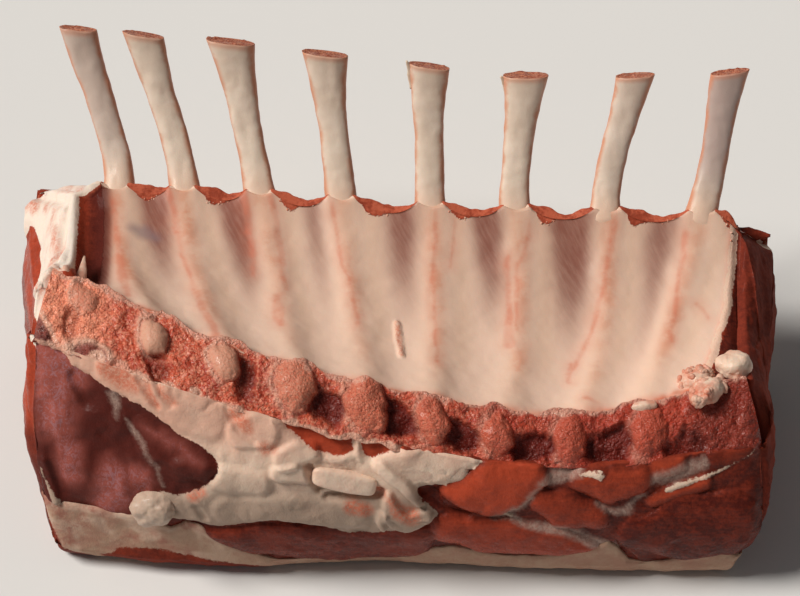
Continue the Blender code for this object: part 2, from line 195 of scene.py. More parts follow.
# folds of the fat and grooves of the lean: height in mm, width of their slopes, spine
FOLDS = [
    (1.5, 1.3, [(-32.5, 43.2, 1.6), (-28, 43.6, 1.8), (-25, 42.6, 1.2)]),
    (1.3, 1.6, [(-31, 47.2, 2.0), (-27, 49, 2.4), (-23.5, 49.4, 1.6)]),
    (1.0, 1.5, [(-43, 53, 3.0), (-37, 54.5, 4.0)]),
    (1.6, 1.2, [(-1.8, 37.4, 0.7), (-1.2, 34.0, 1.6), (0.6, 30, 2.6), (4, 28, 2.6),
                (8.5, 30.5, 1.8)]),
    (1.6, 1.0, [(-4, 46, 1.6), (2.5, 41, 1.4), (6.8, 35.4, 0.8)]),
    (1.6, 0.9, [(-3.2, 31.5, 0.8), (-4.0, 28.5, 0.7), (-3.2, 26.3, 0.5)]),
    (0.9, 3.0, [(-47, 30.5, 3.0), (-30, 32.5, 3.0), (-12, 30.5, 3.0)]),
    (1.1, 2.5, [(-60, 42.5, 1.0), (-46, 40.5, 2.5), (-38, 40, 2.0)]),
    (0.9, 3.0, [(-78, 63, 3.5), (-62, 58, 4.0), (-52, 55, 3.0)]),
    (1.0, 1.6, [(-97, 22, 1.0), (-99, 28, 1.4), (-101, 36, 1.2)]),
    (-2.0, 1.3, [(-24, 44.6, 0.5), (-23, 42, 0.5), (-21, 38.5, 0.5)]),
    (-1.8, 1.4, [(-19, 36.6, 0.3), (-12, 37.6, 0.8), (-4, 37.8, 0.8)]),
    (-0.9, 1.1, [(-71, 62.5, 0.3), (-66, 57.5, 0.3)]),
    (-0.9, 1.1, [(-66.5, 62, 0.3), (-62, 58.5, 0.3)]),
    (-0.8, 1.2, [(-46.5, 58.5, 0.3), (-43, 54, 0.4), (-39, 51.5, 0.3)]),
    (-0.8, 1.5, [(-56, 31, 0.3), (-54, 27, 0.3)]),
    (-0.8, 2.4, [(-98.5, 52, 0.5), (-98.3, 43, 1.0), (-97, 36, 0.7), (-95.5, 28, 0.4)]),
    (-0.8, 1.6, [(-90.5, 60, 0.4), (-87, 54, 0.4)]),
    (-1.2, 2.0, [(8, 39, 1.0), (14, 34.5, 1.0), (20, 30.5, 0.6)]),
]
STAINS = [
    [(-69, 60.5, 0.8), (-66, 57.5, 0.5)], [(-64.5, 61, 0.9), (-61.5, 59, 0.5)],
    [(-81, 64, 1.6), (-76, 62.5, 2.4), (-72, 61, 1.0)],
    [(-44, 58, 2.0), (-41, 55, 1.4)], [(-36, 50, 1.6), (-34, 50, 0.8)],
    [(-57, 34.5, 1.2), (-54, 36, 0.6)], [(-1, 37, 0.8), (1, 33, 1.6), (5, 31, 2.0)],
    [(-12, 33.5, 2.0), (-8, 32.5, 1.6)], [(-10, 38.2, 0.9), (-4, 38.2, 1.3)],
]

# red meat that shows through the cap's low edge
CAP_WINDOWS = [
    [(-84, 4.5, 1.5), (-78, 6.0, 4.0), (-71, 6.5, 5.0), (-60, 5.0, 4.4), (-46, 3.5, 3.0),
     (-38, 2.5, 1.6)],
    [(-106, 26, 4.0), (-104, 14, 4.5), (-100, 5, 4.0), (-90, 0, 3.0)],
]

# ---------------------------------------------------------------------------------------
# What lies on the hollow inner side, as X and Y

# between ribs: middle and half width of the dark band as shares of the gap, how dark, how
# red, and how near the backbone it reaches
RIB_GAPS = [
    (0.59, 0.20, 1.00, 0.70, 0.15), (0.64, 0.17, 1.00, 0.75, 0.20),
    (0.62, 0.14, 0.60, 0.25, 0.25), (0.65, 0.18, 0.85, 0.30, 0.30),
    (0.66, 0.17, 0.95, 0.30, 0.35), (0.60, 0.21, 1.00, 0.40, 0.20),
    (0.60, 0.18, 0.68, 0.25, 0.04),
]
STREAKS = [
    [(-83, 22, 0.9), (-80.5, 5, 1.0), (-79, -5, 1.4), (-76, -17, 0.7)],
    [(-66, 24, 1.0), (-64, 15, 0.9), (-61, 2, 0.6), (-58, -8, 0.7), (-55, -18, 1.2),
     (-50, -30, 0.9)],
    [(-44, 23, 1.3), (-42, 10, 1.0), (-41, 0, 0.4)],
    [(-36, 22, 0.9), (-33, 5, 1.0), (-32, -5, 0.7)],
    [(-34.5, -8, 0.8), (-34, -14, 1.9), (-33, -20, 0.8)],
    [(-18, 20, 0.8), (-16, 8, 0.5), (-12, -5, 0.4), (-11, -18, 0.5)],
    [(12, 18, 0.7), (11, 0, 0.5), (12, -30, 0.5)],
    [(33, 8, 0.8), (33, -8, 1.0), (33, -20, 1.6)],
    [(40, 15, 0.8), (36, 5, 0.5), (35, -15, 0.4)],
    [(64, 15, 1.0), (61, 0, 0.6), (58, -12, 0.6), (50, -30, 0.8)],
    [(85, 13, 0.9), (82, -5, 0.8), (80, -20, 0.6)],
    [(88, -7, 0.5), (91, -12, 0.5)], [(50.4, -26, 0.7), (50, -33, 0.6)],
    [(54, -41, 0.9), (57, -43, 0.6)], [(17.8, 17, 0.35), (16.8, 10, 0.3), (16.3, 5, 0.2)],
]
BRUISES = [[(-77, 15.0, 1.2), (-74, 14.0, 2.2), (-70, 12.0, 1.0)]]
RAISED_FLECKS = [[(0.6, -14, 1.0), (1.2, -20, 1.3), (2.0, -27, 1.0)]]

# loose fat: its side, its place as shares along the rack and over that side from the
# backbone, its half sizes along, across and outward in mm, and its turn in degrees
LUMPS = {
    "fat_nodule": ("front", 0.163, 0.64, 6.5, 5.0, 5.0, 20),
    "fat_strip": ("front", 0.427, 0.27, 9.0, 3.2, 3.0, -4),
    "fat_flap": ("front", 0.540, 0.14, 13.0, 4.4, 1.9, 8),
    "fat_clump": ("inner", 0.930, 0.08, 5.2, 4.4, 3.6, 20),
    "fat_block": ("inner", 0.985, 0.12, 4.8, 4.6, 3.8, 30),
    "fat_curds": ("inner", 0.945, -0.04, 6.4, 3.8, 3.0, 40),
    "fat_curl": ("inner", 0.852, -0.02, 4.4, 1.6, 1.8, -10),
}

# height of the fat cap's front edge, as X and Z
CAP_EDGE = [
    (-104, 26), (-99, 24), (-95, 24.5), (-84, 24), (-75, 23.5), (-70, 22), (-65, 20.5),
    (-60, 24), (-56, 22.5), (-51, 17), (-45, 13.5), (-40, 10), (-35, 7.6), (-28, 7.2),
    (-10, 7.2), (2, 8), (8, 11), (13, 14.5), (18, 15.6), (24, 13), (32, 11), (42, 10.6),
    (50, 13), (57, 17), (62, 19.5), (66, 16), (71, 9.5), (76, 7.8), (82, 9), (88, 12.5),
    (94, 14.2), (99, 13), (104, 11),
]


# ---------------------------------------------------------------------------------------
# Sizes and colours that a user may change

def length(name, text, value):
    """A size; its value here is in mm."""
    return FloatProperty(name=name, description=text, default=value * MM, min=0.0,
                         subtype="DISTANCE", unit="LENGTH", precision=5)


def colour(name, text, value):
    """A colour as linear red, green and blue."""
    return FloatVectorProperty(name=name, description=text, default=value, size=3,
                               min=0.0, max=1.0, subtype="COLOR")


def amount(name, text, value, top):
    """A strength from 0 to top."""
    return FloatProperty(name=name, description=text, default=value, min=0.0, max=top)


class RackSizes(bpy.types.PropertyGroup):
    """Heights of the relief on the meat and how fine its mesh is"""
    sheet: length("Fat sheet", "Thickness of the fat over the front", 1.5)
    ridge: length("Rib ridge", "Height of the lining over each rib", 1.1)
    hollow: length("Rib gap", "Depth of the hollows between the ribs", 0.6)
    rim: length("End rim", "Height of the rims at both ends of the hollow side", 3.6)
    collar: length("Collar", "Height of the torn meat round each bare rib", 4.6)
    spongy: length("Sawn relief", "Depth of the pits in the sawn backbone", 1.0)
    lip: length("Cap lip", "How far the fat cap's edge stands out on the front", 1.0)
    stations: IntProperty(name="Steps along", description="Sections of the meat",
                          default=360, min=40, max=800)


class RackColours(bpy.types.PropertyGroup):
    """Colours of the meat, fat, skin and bone"""
    lean: colour("Lean", "Bright lean meat", (0.46, 0.068, 0.030))
    lean_dark: colour("Dark lean", "Dark lean meat", (0.085, 0.014, 0.010))
    mauve: colour("Mauve lean", "Lean that has dried to mauve", (0.085, 0.016, 0.012))
    mauve_light: colour("Light mauve", "Lighter dried lean", (0.380, 0.098, 0.076))
    violet: colour("Violet sheen", "Violet mottling", (0.37, 0.19, 0.215))
    fat: colour("Fat", "Fat of the front and the ends", (0.80, 0.62, 0.49))
    fat_pink: colour("Pink fat", "Fat with blood in it", (0.74, 0.42, 0.31))
    # Painted shade: fat darkened low on the front, towards the right and on shaded lumps
    fat_painted_shade: colour("Shaded fat", "Fat low on the front", (0.36, 0.26, 0.20))
    cap: colour("Fat cap", "Fat cap", (0.47, 0.31, 0.22))
    cap_pink: colour("Pink fat cap", "Fat cap with blood in it", (0.36, 0.15, 0.11))
    stain: colour("Stain", "Red stain on fat and lining", (0.62, 0.16, 0.085))
    silver: colour("Silverskin", "Thin white skin over the lean", (0.50, 0.355, 0.295))
    lining: colour("Lining", "Skin of the hollow side", (0.82, 0.585, 0.465))
    lining_light: colour("Light lining", "Lining over a rib", (0.78, 0.54, 0.41))
    bruise: colour("Bruise", "Grey mark on the lining", (0.24, 0.17, 0.19))
    rib_line: colour("Rib line", "Tan line beside a rib", (0.66, 0.28, 0.17))
    gap_grey: colour("Gap, grey", "Meat seen through the lining", (0.175, 0.043, 0.028))
    gap_red: colour("Gap, red", "Redder meat seen through the lining", (0.23, 0.048, 0.030))
    torn: colour("Torn meat", "Torn meat of the cleaned edge", (0.62, 0.155, 0.085))
    bone: colour("Bone", "Cleaned rib", (0.78, 0.65, 0.54))
    bone_warm: colour("Warm bone", "Warmer clouds on a cleaned rib", (0.66, 0.52, 0.41))
    bone_grey: colour("Grey bone", "Ribs that have dried grey", (0.42, 0.31, 0.29))
    bone_rim: colour("Bone rim", "Skin left on a rib's edges", (0.62, 0.24, 0.13))
    tip: colour("Bone tip", "Dark grains of a rib's sawn end", (0.28, 0.060, 0.035))
    tip_light: colour("Bone tip, light", "Pale grains of a rib's sawn end", (0.60, 0.25, 0.15))
    fat_bright: colour("Bright fat", "Thick white fat of the left end", (0.86, 0.75, 0.66))
    marrow: colour("Marrow", "Sawn spongy bone", (0.72, 0.14, 0.070))
    marrow_red: colour("Red marrow", "Redder spongy bone", (0.40, 0.040, 0.022))
    marrow_light: colour("Pale marrow", "Grains of sawn bone", (0.86, 0.36, 0.23))
    # Painted light: brighter orange marrow on the lit left end of the sawn backbone
    marrow_lit: colour("Lit marrow", "Spongy bone under painted light", (0.96, 0.32, 0.19))
    # Partly painted shade: hollows right of the knobs, away from the light
    marrow_dark_and_shade: colour("Dark marrow", "Hollows of the sawn bone", (0.16, 0.017, 0.011))
    knob: colour("Knob", "Rough knobs of the backbone", (0.60, 0.17, 0.095))
    knob_pale: colour("Pale knob", "Knobs near the shoulder end", (0.66, 0.36, 0.25))


class StageSettings(bpy.types.PropertyGroup):
    """Floor, lights and camera"""
    floor: colour("Floor", "Floor colour", (0.78, 0.78, 0.78))
    key: amount("Key light", "Strength of the key light", 3.4, 20.0)
    softness: FloatProperty(name="Softness", description="How wide the key light looks",
                            default=math.radians(22.0), subtype="ANGLE", unit="ROTATION")
    fill: amount("Fill", "Strength of the light from all round", 0.10, 5.0)
    distance: length("Camera distance", "From the camera to its target", 820.0)
    pitch: FloatProperty(name="Camera pitch", description="How far the camera looks down",
                         default=math.radians(50.0), subtype="ANGLE", unit="ROTATION")
    lens: FloatProperty(name="Lens", description="Focal length in mm", default=124.0,
                        unit="CAMERA")


# ---------------------------------------------------------------------------------------
# Shapes, in mm

def bend(start, end, leave, arrive, s):
    """Point at s, 0 to 1, of a curve with the given steps at its start and its end."""
    return ((2 * s ** 3 - 3 * s ** 2 + 1) * start + (s ** 3 - 2 * s ** 2 + s) * leave
            + (3 * s ** 2 - 2 * s ** 3) * end + (s ** 3 - s ** 2) * arrive)


def spline(points, steps, leave=None):
    """Rows of points on smooth curves through the given rows, without the last one."""
    padded = [2 * points[0] - points[1], *points, 2 * points[-1] - points[-2]]
    ways = [(after - before) / 2 for before, after in zip(padded, padded[2:])]
    if leave is not None:
        ways[0] = leave
    return [bend(points[i], points[i + 1], ways[i], ways[i + 1], k / count)
            for i, count in enumerate(steps) for k in range(count)]


def along(values, t):
    """Smooth values at t, an array from 0 to 1, through values at even steps."""
    v = np.asarray(values, float)
    last = len(v) - 1
    i = np.clip((t * last).astype(int), 0, last - 1)
    padded = np.concatenate([[2 * v[0] - v[1]], v, [2 * v[-1] - v[-2]]])
    before, start, end, after = (padded[i + k] for k in range(4))
    return bend(start, end, (end - before) / 2, (after - start) / 2, t * last - i)


def line(name, t):
    """Points of a named line at t, with X growing evenly from end to end."""
    (x0, x1), ys, zs = LINES[name]
    return np.stack([x0 + (x1 - x0) * t, along(ys, t), along(zs, t)], axis=-1)


def across(a, b):
    """Step from a towards b that is 1 long in the YZ plane, and the normal to its left."""
    step = (b - a) / np.linalg.norm((b - a)[..., 1:], axis=-1, keepdims=True)
    return step, np.stack([np.zeros(step.shape[:-1]), -step[..., 2], step[..., 1]], axis=-1)


def inward(rows):
    """Unit normals in the YZ plane, into the meat, of runs that turn left along axis 0."""
    tangent = np.gradient(rows, axis=0)
    normal = np.stack([np.zeros(rows.shape[:-1]), -tangent[..., 2], tangent[..., 1]], axis=-1)
    return normal / np.linalg.norm(normal, axis=-1, keepdims=True)


def trough(t, w):
    """Hollow side: w runs from the backbone at 0 to the cleaned edge at 1."""
    a = line("chine_high", t)
    b = line("inner_edge", t)
    _, left = across(a, b)
    sag = TROUGH_SAG * np.linalg.norm((b - a)[..., 1:], axis=-1, keepdims=True)
    return a + (b - a) * w - left * (4 * sag * w * (1 - w))


def trough_at(x, w):
    """The same, at one X."""
    a0, a1 = LINES["chine_high"][0]
    b0, b1 = LINES["inner_edge"][0]
    x0 = a0 * (1 - w) + b0 * w
    x1 = a1 * (1 - w) + b1 * w
    return trough(np.array([(x - x0) / (x1 - x0)]), w)[0]


def outer_run(t, toe_steps=2, sole_steps=4, rise_steps=(5, 3)):
    """Outer side of the fat cap, from the front's low edge round to the outer top."""
    low = line("front_low", t)
    front = line("floor_front", t)
    back = line("floor_back", t)
    corner = low * TOE_SHARE + front * (1 - TOE_SHARE)
    corner[:, 2] = TOE_HEIGHT
    middle = line("outer_mid", t)
    top = line("outer_top", t)
    level = np.stack([middle[:, 0] - back[:, 0], SOLE_LEVEL * (middle[:, 1] - back[:, 1]),
                      np.zeros(len(t))], axis=-1)
    return np.array([*spline([low, corner, front], [toe_steps, toe_steps]),
                     *spline([front, back], [sole_steps]),
                     *spline([back, middle, top], rise_steps, leave=level), top])


def front_rows(t, steps):
    """Front side of the meat, from the backbone down to its low edge."""
    return np.array(spline([line("chine_low", t), line("front_mid", t), line("front_low", t)],
                           steps) + [line("front_low", t)])


# ---------------------------------------------------------------------------------------
# Fields: values at many points at once

def smooth(value):
    """Eased step from 0 to 1 as value goes from 0 to 1."""
    v = np.clip(value, 0, 1)
    return v * v * (3 - 2 * v)


def swell(distance, width):
    """Rounded rise from 0 to 1 as the distance inside a shape grows to width."""
    v = np.clip(distance / width, 0, 1)
    return np.sqrt(v * (2 - v))


def bell(value, width):
    """1 at 0, falling off smoothly on both sides over about width."""
    return np.exp(-(value / width) ** 2)


def wander(points, size, seed=0):
    """Smooth random value from -1 to 1 that changes over about size mm."""
    cells = 24
    grid = np.random.default_rng(seed).uniform(-1, 1, (cells, cells, cells))
    place = points / size + 100.0
    base = np.floor(place).astype(int)
    part = place - base
    part = part * part * (3 - 2 * part)
    total = np.zeros(points.shape[:-1])
    for corner in itertools.product((0, 1), repeat=3):
        index = (base + corner) % cells
        weight = np.prod(np.where(corner, part, 1 - part), axis=-1)
        total += weight * grid[index[..., 0], index[..., 1], index[..., 2]]
    return total


def rough(points, size, seed=0, layers=3):
    """Wander with finer and finer layers on it."""
    return sum(wander(points, size / 2 ** k, seed + k) / 2 ** k for k in range(layers))


def spine(points, a, b):
    """Distance in mm inside a chain of round blobs; negative outside."""
    best = np.full(np.shape(a), -1e3)
    for (a0, b0, r0), (a1, b1, r1) in zip(points, points[1:]):
        da, db = a1 - a0, b1 - b0
        s = np.clip(((a - a0) * da + (b - b0) * db) / (da * da + db * db), 0, 1)
        away = np.hypot(a - a0 - s * da, b - b0 - s * db)
        best = np.maximum(best, r0 + (r1 - r0) * s - away)
    return best


def spines(table, a, b):
    """The same inside the nearest of several chains."""
    return np.max([spine(points, a, b) for points in table], axis=0)


def facets(a, b, size, seed):
    """Cells about size mm wide: distance from the cells' borders, and a value for each."""
    offsets = np.random.default_rng(seed).uniform(0, 1, (32, 32, 3))
    u, v = a / size + 64, b / size + 64
    i, j = np.floor(u).astype(int), np.floor(v).astype(int)
    near = np.full(np.shape(a), 9.0)
    second = near.copy()
    value = np.zeros(np.shape(a))
    for di, dj in itertools.product((-1, 0, 1), repeat=2):
        cell = offsets[(i + di) % 32, (j + dj) % 32]
        away = np.hypot(i + di + cell[..., 0] - u, j + dj + cell[..., 1] - v)
        closer = away < near
        second = np.where(closer, near, np.minimum(second, away))
        value = np.where(closer, cell[..., 2] * 2 - 1, value)
        near = np.where(closer, away, near)
    return (second - near) * size, value


def outline(points, a, b):
    """Distance in mm inside a smooth closed outline; negative outside."""
    ring = [np.array(p, float) for p in points]
    count = len(ring)
    fine = np.array([
        bend(ring[i], ring[(i + 1) % count], (ring[(i + 1) % count] - ring[i - 1]) / 2,
             (ring[(i + 2) % count] - ring[i]) / 2, s)
        for i in range(count) for s in (0, 0.25, 0.5, 0.75)])
    best = np.full(np.shape(a), 1e3)
    odd = np.zeros(np.shape(a), bool)
    for (a0, b0), (a1, b1) in zip(fine, np.roll(fine, -1, axis=0)):
        da, db = a1 - a0, b1 - b0
        s = np.clip(((a - a0) * da + (b - b0) * db) / (da * da + db * db + 1e-9), 0, 1)
        best = np.minimum(best, np.hypot(a - a0 - s * da, b - b0 - s * db))
        crosses = (b0 > b) != (b1 > b)
        odd ^= crosses & (a < a0 + (b - b0) * da / np.where(db == 0, 1e-9, db))
    return np.where(odd, best, -best)


def normals(rings):
    """Outward unit normals of rings of points, stacked along axis 0."""
    length_way = np.gradient(rings, axis=0)
    round_way = (np.roll(rings, -1, axis=1) - np.roll(rings, 1, axis=1)) / 2
    normal = np.cross(round_way, length_way)
    size = np.linalg.norm(normal, axis=-1, keepdims=True)
    return normal / np.maximum(size, 1e-9)


# ---------------------------------------------------------------------------------------
# Meshes

def ring_quads(sections, count):
    """Quads between rings of count points."""
    ring = np.arange(count)
    first = np.arange(sections - 1)[:, None] * count
    here, there = first + ring, first + np.roll(ring, -1)
    return np.stack([here, there, there + count, here + count], axis=-1).reshape(-1, 4)


def skin_faces(sections, count):
    """Quads between rings of count points, and the two fans that close the ends."""
    ring = np.arange(count)
    total = sections * count
    low = np.stack([np.roll(ring, -1), ring, np.full(count, total)], axis=-1)
    top = (sections - 1) * count
    high = np.stack([top + ring, top + np.roll(ring, -1), np.full(count, total + 1)], axis=-1)
    return [ring_quads(sections, count), low, high]


def piece(name, points, faces, look, node, marks, crisp=None):
    """A mesh object that stands for a node of the model and rides with it.

    crisp numbers the points; edges between points with the same number above 0 stay sharp.
    """
    mesh = bpy.data.meshes.new(name)
    points = np.asarray(points, float).reshape(-1, 3)
    corners = np.concatenate([f.ravel() for f in faces])
    sizes = np.concatenate([np.full(len(f), f.shape[1]) for f in faces])
    starts = np.concatenate([[0], np.cumsum(sizes)[:-1]])
    mesh.vertices.add(len(points))
    mesh.vertices.foreach_set("co", (points * MM).astype(np.float32).ravel())
    mesh.loops.add(len(corners))
    mesh.loops.foreach_set("vertex_index", corners.astype(np.int32))
    mesh.polygons.add(len(sizes))
    mesh.polygons.foreach_set("loop_start", starts.astype(np.int32))
    mesh.update(calc_edges=True)
    if signed_volume(points, faces) < 0:
        mesh.flip_normals()
    for mark, values in marks.items():
        held = mesh.attributes.new(mark, "FLOAT", "POINT")
        held.data.foreach_set("value", np.asarray(values, np.float32).ravel())
    mesh.shade_smooth()
    if crisp is not None:
        ends = np.zeros(len(mesh.edges) * 2, np.int32)
        mesh.edges.foreach_get("vertices", ends)
        first, second = crisp[ends[::2]], crisp[ends[1::2]]
        held = mesh.attributes.new("sharp_edge", "BOOLEAN", "EDGE")
        held.data.foreach_set("value", (first == second) & (first > 0))
    mesh.materials.append(look)
    made = bpy.data.objects.new(name, mesh)
    bpy.context.scene.collection.objects.link(made)
    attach(made, "root")
    if node:
        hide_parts(node)
    return made


def signed_volume(points, faces):
    """Six times the volume inside the faces; negative if they look inward."""
    total = 0.0
    for group in faces:
        a = points[group[:, 0]]
        for k in range(1, group.shape[1] - 1):
            b, c = points[group[:, k]], points[group[:, k + 1]]
            total += np.einsum("ij,ij->", a, np.cross(b, c))
    return total


def closed(rings, hearts=None):
    """Points of rings, with the middles of the first and of the last ring added."""
    if hearts is None:
        hearts = rings[[0, -1]].mean(axis=1)
    return np.vstack([rings.reshape(-1, 3), hearts])


def closed_mark(values):
    """The same for a value at each point."""
    return np.concatenate([values.ravel(), [values[0].mean(), values[-1].mean()]])


# ---------------------------------------------------------------------------------------
# Materials

class Recipe:
    """Adds nodes to a tree and joins them; a socket or a plain value may feed an input."""

    def __init__(self, tree):
        self.tree = tree

    def node(self, kind, inputs=(), **settings):
        made = self.tree.nodes.new(kind)
        for name, value in settings.items():
            setattr(made, name, value)
        for key, value in dict(inputs).items():
            self.feed(made.inputs[key], value)
        return made

    def feed(self, socket, value):
        if isinstance(value, bpy.types.NodeSocket):
            self.tree.links.new(value, socket)
        elif socket.type == "RGBA" and len(value) == 3:
            socket.default_value = (*value, 1.0)
        else:
            socket.default_value = value

    def mark(self, name):
        """A value stored at the mesh's points."""
        return self.node("ShaderNodeAttribute", attribute_name=name).outputs["Fac"]

    def place(self, scale=(1.0, 1.0, 1.0), turn=(0.0, 0.0, 0.0)):
        """Object coordinates in mm, turned and scaled."""
        where = self.node("ShaderNodeTexCoord").outputs["Object"]
        turned = self.node("ShaderNodeMapping", {"Vector": where, "Rotation": turn})
        sized = tuple(s / MM for s in scale)
        return self.node("ShaderNodeMapping", {"Vector": turned.outputs[0],
                                               "Scale": sized}).outputs[0]

    def noise(self, place, size, detail=3.0, roughness=0.55, distortion=0.0):
        made = self.node("ShaderNodeTexNoise", {
            "Vector": place, "Scale": 1.0 / size, "Detail": detail,
            "Roughness": roughness, "Distortion": distortion})
        return made.outputs["Fac"]

    def math(self, kind, a, b=0.0, clamp=False):
        made = self.node("ShaderNodeMath", {0: a, 1: b}, operation=kind, use_clamp=clamp)
        return made.outputs[0]

    def times(self, a, b, clamp=False):
        return self.math("MULTIPLY", a, b, clamp)

    def ramp(self, value, low, high, start=0.0, end=1.0):
        """Eased change from start to end as value goes from low to high."""
        made = self.node("ShaderNodeMapRange", {
            "Value": value, "From Min": low, "From Max": high, "To Min": start, "To Max": end},
            interpolation_type="SMOOTHSTEP")
        return made.outputs["Result"]

    def mix(self, factor, a, b):
        made = self.node("ShaderNodeMix", {0: factor, 6: a, 7: b}, data_type="RGBA")
        return made.outputs[2]

    def blend(self, factor, a, b):
        """Mix of two values."""
        made = self.node("ShaderNodeMix", {0: factor, 2: a, 3: b}, data_type="FLOAT")
        return made.outputs[0]

    def group(self, tree, **inputs):
        made = self.node("ShaderNodeGroup", node_tree=tree)
        for name, value in inputs.items():
            self.feed(made.inputs[name], value)
        return made.outputs[0]


def effect(name, inputs, output, fill):
    """A shader node group made once: inputs as (name, kind, default), and one output."""
    known = bpy.data.node_groups.get(name)
    if known:
        return known
    tree = bpy.data.node_groups.new(name, "ShaderNodeTree")
    for label, kind, default in inputs:
        socket = tree.interface.new_socket(name=label, in_out="INPUT", socket_type=kind)
        if default is not None:
            socket.default_value = default
    tree.interface.new_socket(name=output, in_out="OUTPUT", socket_type="NodeSocketFloat")
    recipe = Recipe(tree)
    given = recipe.node("NodeGroupInput")
    result = fill(recipe, given.outputs)
    recipe.tree.links.new(result, recipe.node("NodeGroupOutput").inputs[0])
    return tree


def ragged_edge():
    """Mask that is 1 inside a marked distance, with a torn edge."""
    def fill(recipe, given):
        noise = recipe.noise(given["Place"], 1.0, 4.0, 0.6)
        centred = recipe.math("SUBTRACT", noise, 0.5)
        pushed = recipe.times(centred, given["Tear"])
        moved = recipe.math("ADD", given["Distance"], pushed)
        softened = recipe.math("DIVIDE", moved, given["Softness"])
        return recipe.ramp(softened, -0.5, 0.5)
    return effect("ragged_edge", [
        ("Place", "NodeSocketVector", None), ("Distance", "NodeSocketFloat", 0.0),
        ("Tear", "NodeSocketFloat", 1.5), ("Softness", "NodeSocketFloat", 0.3)], "Mask", fill)


def mottling():
    """Cloudy value from 0 to 1 at two sizes."""
    def fill(recipe, given):
        broad = recipe.noise(given["Place"], 7.0, 3.0, 0.6)
        fine = recipe.noise(given["Place"], 1.1, 3.0, 0.6)
        both = recipe.blend(given["Fineness"], broad, fine)
        return recipe.ramp(both, 0.35, 0.65)
    return effect("mottling", [
        ("Place", "NodeSocketVector", None), ("Fineness", "NodeSocketFloat", 0.4)],
        "Value", fill)


def moist_grain():
    """Height of a wet surface: soft lumps with a fine grain on them."""
    def fill(recipe, given):
        lumps = recipe.noise(given["Place"], 2.2, 3.0, 0.55)
        grain = recipe.noise(given["Place"], 0.45, 2.0, 0.5)
        return recipe.blend(given["Grain"], lumps, grain)
    return effect("moist_grain", [
        ("Place", "NodeSocketVector", None), ("Grain", "NodeSocketFloat", 0.35)],
        "Height", fill)


def finish_look(recipe, base, rough_value, height, depth, gloss=0.25, coat=0.05, scatter=0.1):
    """Puts the values into a Principled BSDF; what is even all over is set on its sockets."""
    shader = recipe.tree.nodes["Principled BSDF"]
    recipe.feed(shader.inputs["Base Color"], base)
    recipe.feed(shader.inputs["Roughness"], rough_value)
    shader.inputs["Specular IOR Level"].default_value = gloss
    shader.inputs["Coat Weight"].default_value = coat
    shader.inputs["Coat Roughness"].default_value = 0.12
    shader.inputs["Metallic"].default_value = 0.0
    shader.inputs["Subsurface Weight"].default_value = scatter
    shader.inputs["Subsurface Radius"].default_value = (1.0, 0.42, 0.25)
    shader.inputs["Subsurface Scale"].default_value = 1.6 * MM
    bump = recipe.node("ShaderNodeBump", {"Height": height, "Distance": depth * MM,
                                          "Strength": 1.0})
    recipe.tree.links.new(bump.outputs[0], shader.inputs["Normal"])


def new_look(name):
    """A new material and the recipe that fills it."""
    made = bpy.data.materials.new(name)
    made.use_nodes = True
    return made, Recipe(made.node_tree)


def lean_tint(recipe, colours, cloud, fibres, threads):
    """Lean from dark to bright, dried to mauve in places, with violet threads and shreds."""
    tone = recipe.math("ADD", recipe.mark("tone"), recipe.ramp(fibres, 0.3, 0.7, -0.06, 0.06))
    tone = recipe.math("ADD", tone, recipe.ramp(cloud, 0.0, 1.0, -0.12, 0.12), clamp=True)
    lean = recipe.mix(tone, colours.lean_dark, colours.lean)
    dried = recipe.times(recipe.mark("mauve"), recipe.ramp(cloud, 0.0, 1.0, 0.8, 1.0))
    near_violet = recipe.ramp(recipe.mark("violet"), -6.0, 2.0)
    lean = recipe.mix(dried, lean, recipe.mix(near_violet, colours.mauve, colours.mauve_light))
    sheen = recipe.times(recipe.ramp(recipe.mark("violet"), -3.5, 2.0),
                         recipe.ramp(threads, 0.46, 0.60))
    lean = recipe.mix(recipe.times(sheen, 0.60), lean, colours.violet)
    shreds = recipe.times(recipe.ramp(recipe.mark("torn"), -0.5, 1.0),
                          recipe.ramp(cloud, 0.1, 0.9, 0.25, 0.95))
    return recipe.mix(recipe.times(shreds, 0.8), lean, colours.torn)


def lining_tint(recipe, colours, place):
    """Pale lining with the meat of the gaps seen through it, and with its lines."""
    pale = recipe.mix(recipe.mark("ridge"), colours.lining, colours.lining_light)
    slant = recipe.place(scale=(1.0, 0.14, 0.14), turn=(0.0, 0.0, math.radians(-28)))
    strands = recipe.noise(slant, 1.0, 3.0, 0.6)
    see_through = recipe.times(recipe.ramp(recipe.mark("gap"), 0.0, 0.8),
                               recipe.ramp(strands, 0.3, 0.66, 0.78, 0.88))
    under = recipe.mix(recipe.mark("gap_red"), colours.gap_grey, colours.gap_red)
    pale = recipe.mix(see_through, pale, under)
    pale = recipe.mix(recipe.ramp(recipe.mark("bruise"), -2.0, 1.5, 0.0, 0.6), pale,
                      colours.bruise)
    patches = recipe.group(mottling(), Place=place, Fineness=0.1)
    pale = recipe.mix(recipe.times(recipe.mark("rib_line"),
                                   recipe.ramp(patches, 0.0, 1.0, 0.30, 0.75)),
                      pale, colours.rib_line)
    soft_line = recipe.ramp(recipe.mark("streak"), -4.0, 1.0, 0.0, 0.25)
    thin_line = recipe.ramp(recipe.mark("streak"), -0.7, 0.8, 0.0, 0.35)
    line_mask = recipe.times(recipe.math("ADD", soft_line, thin_line),
                             recipe.ramp(patches, 0.0, 1.0, 0.60, 1.0))
    pale = recipe.mix(line_mask, pale, colours.stain)
    return recipe.mix(recipe.mark("blush"), pale, colours.stain)


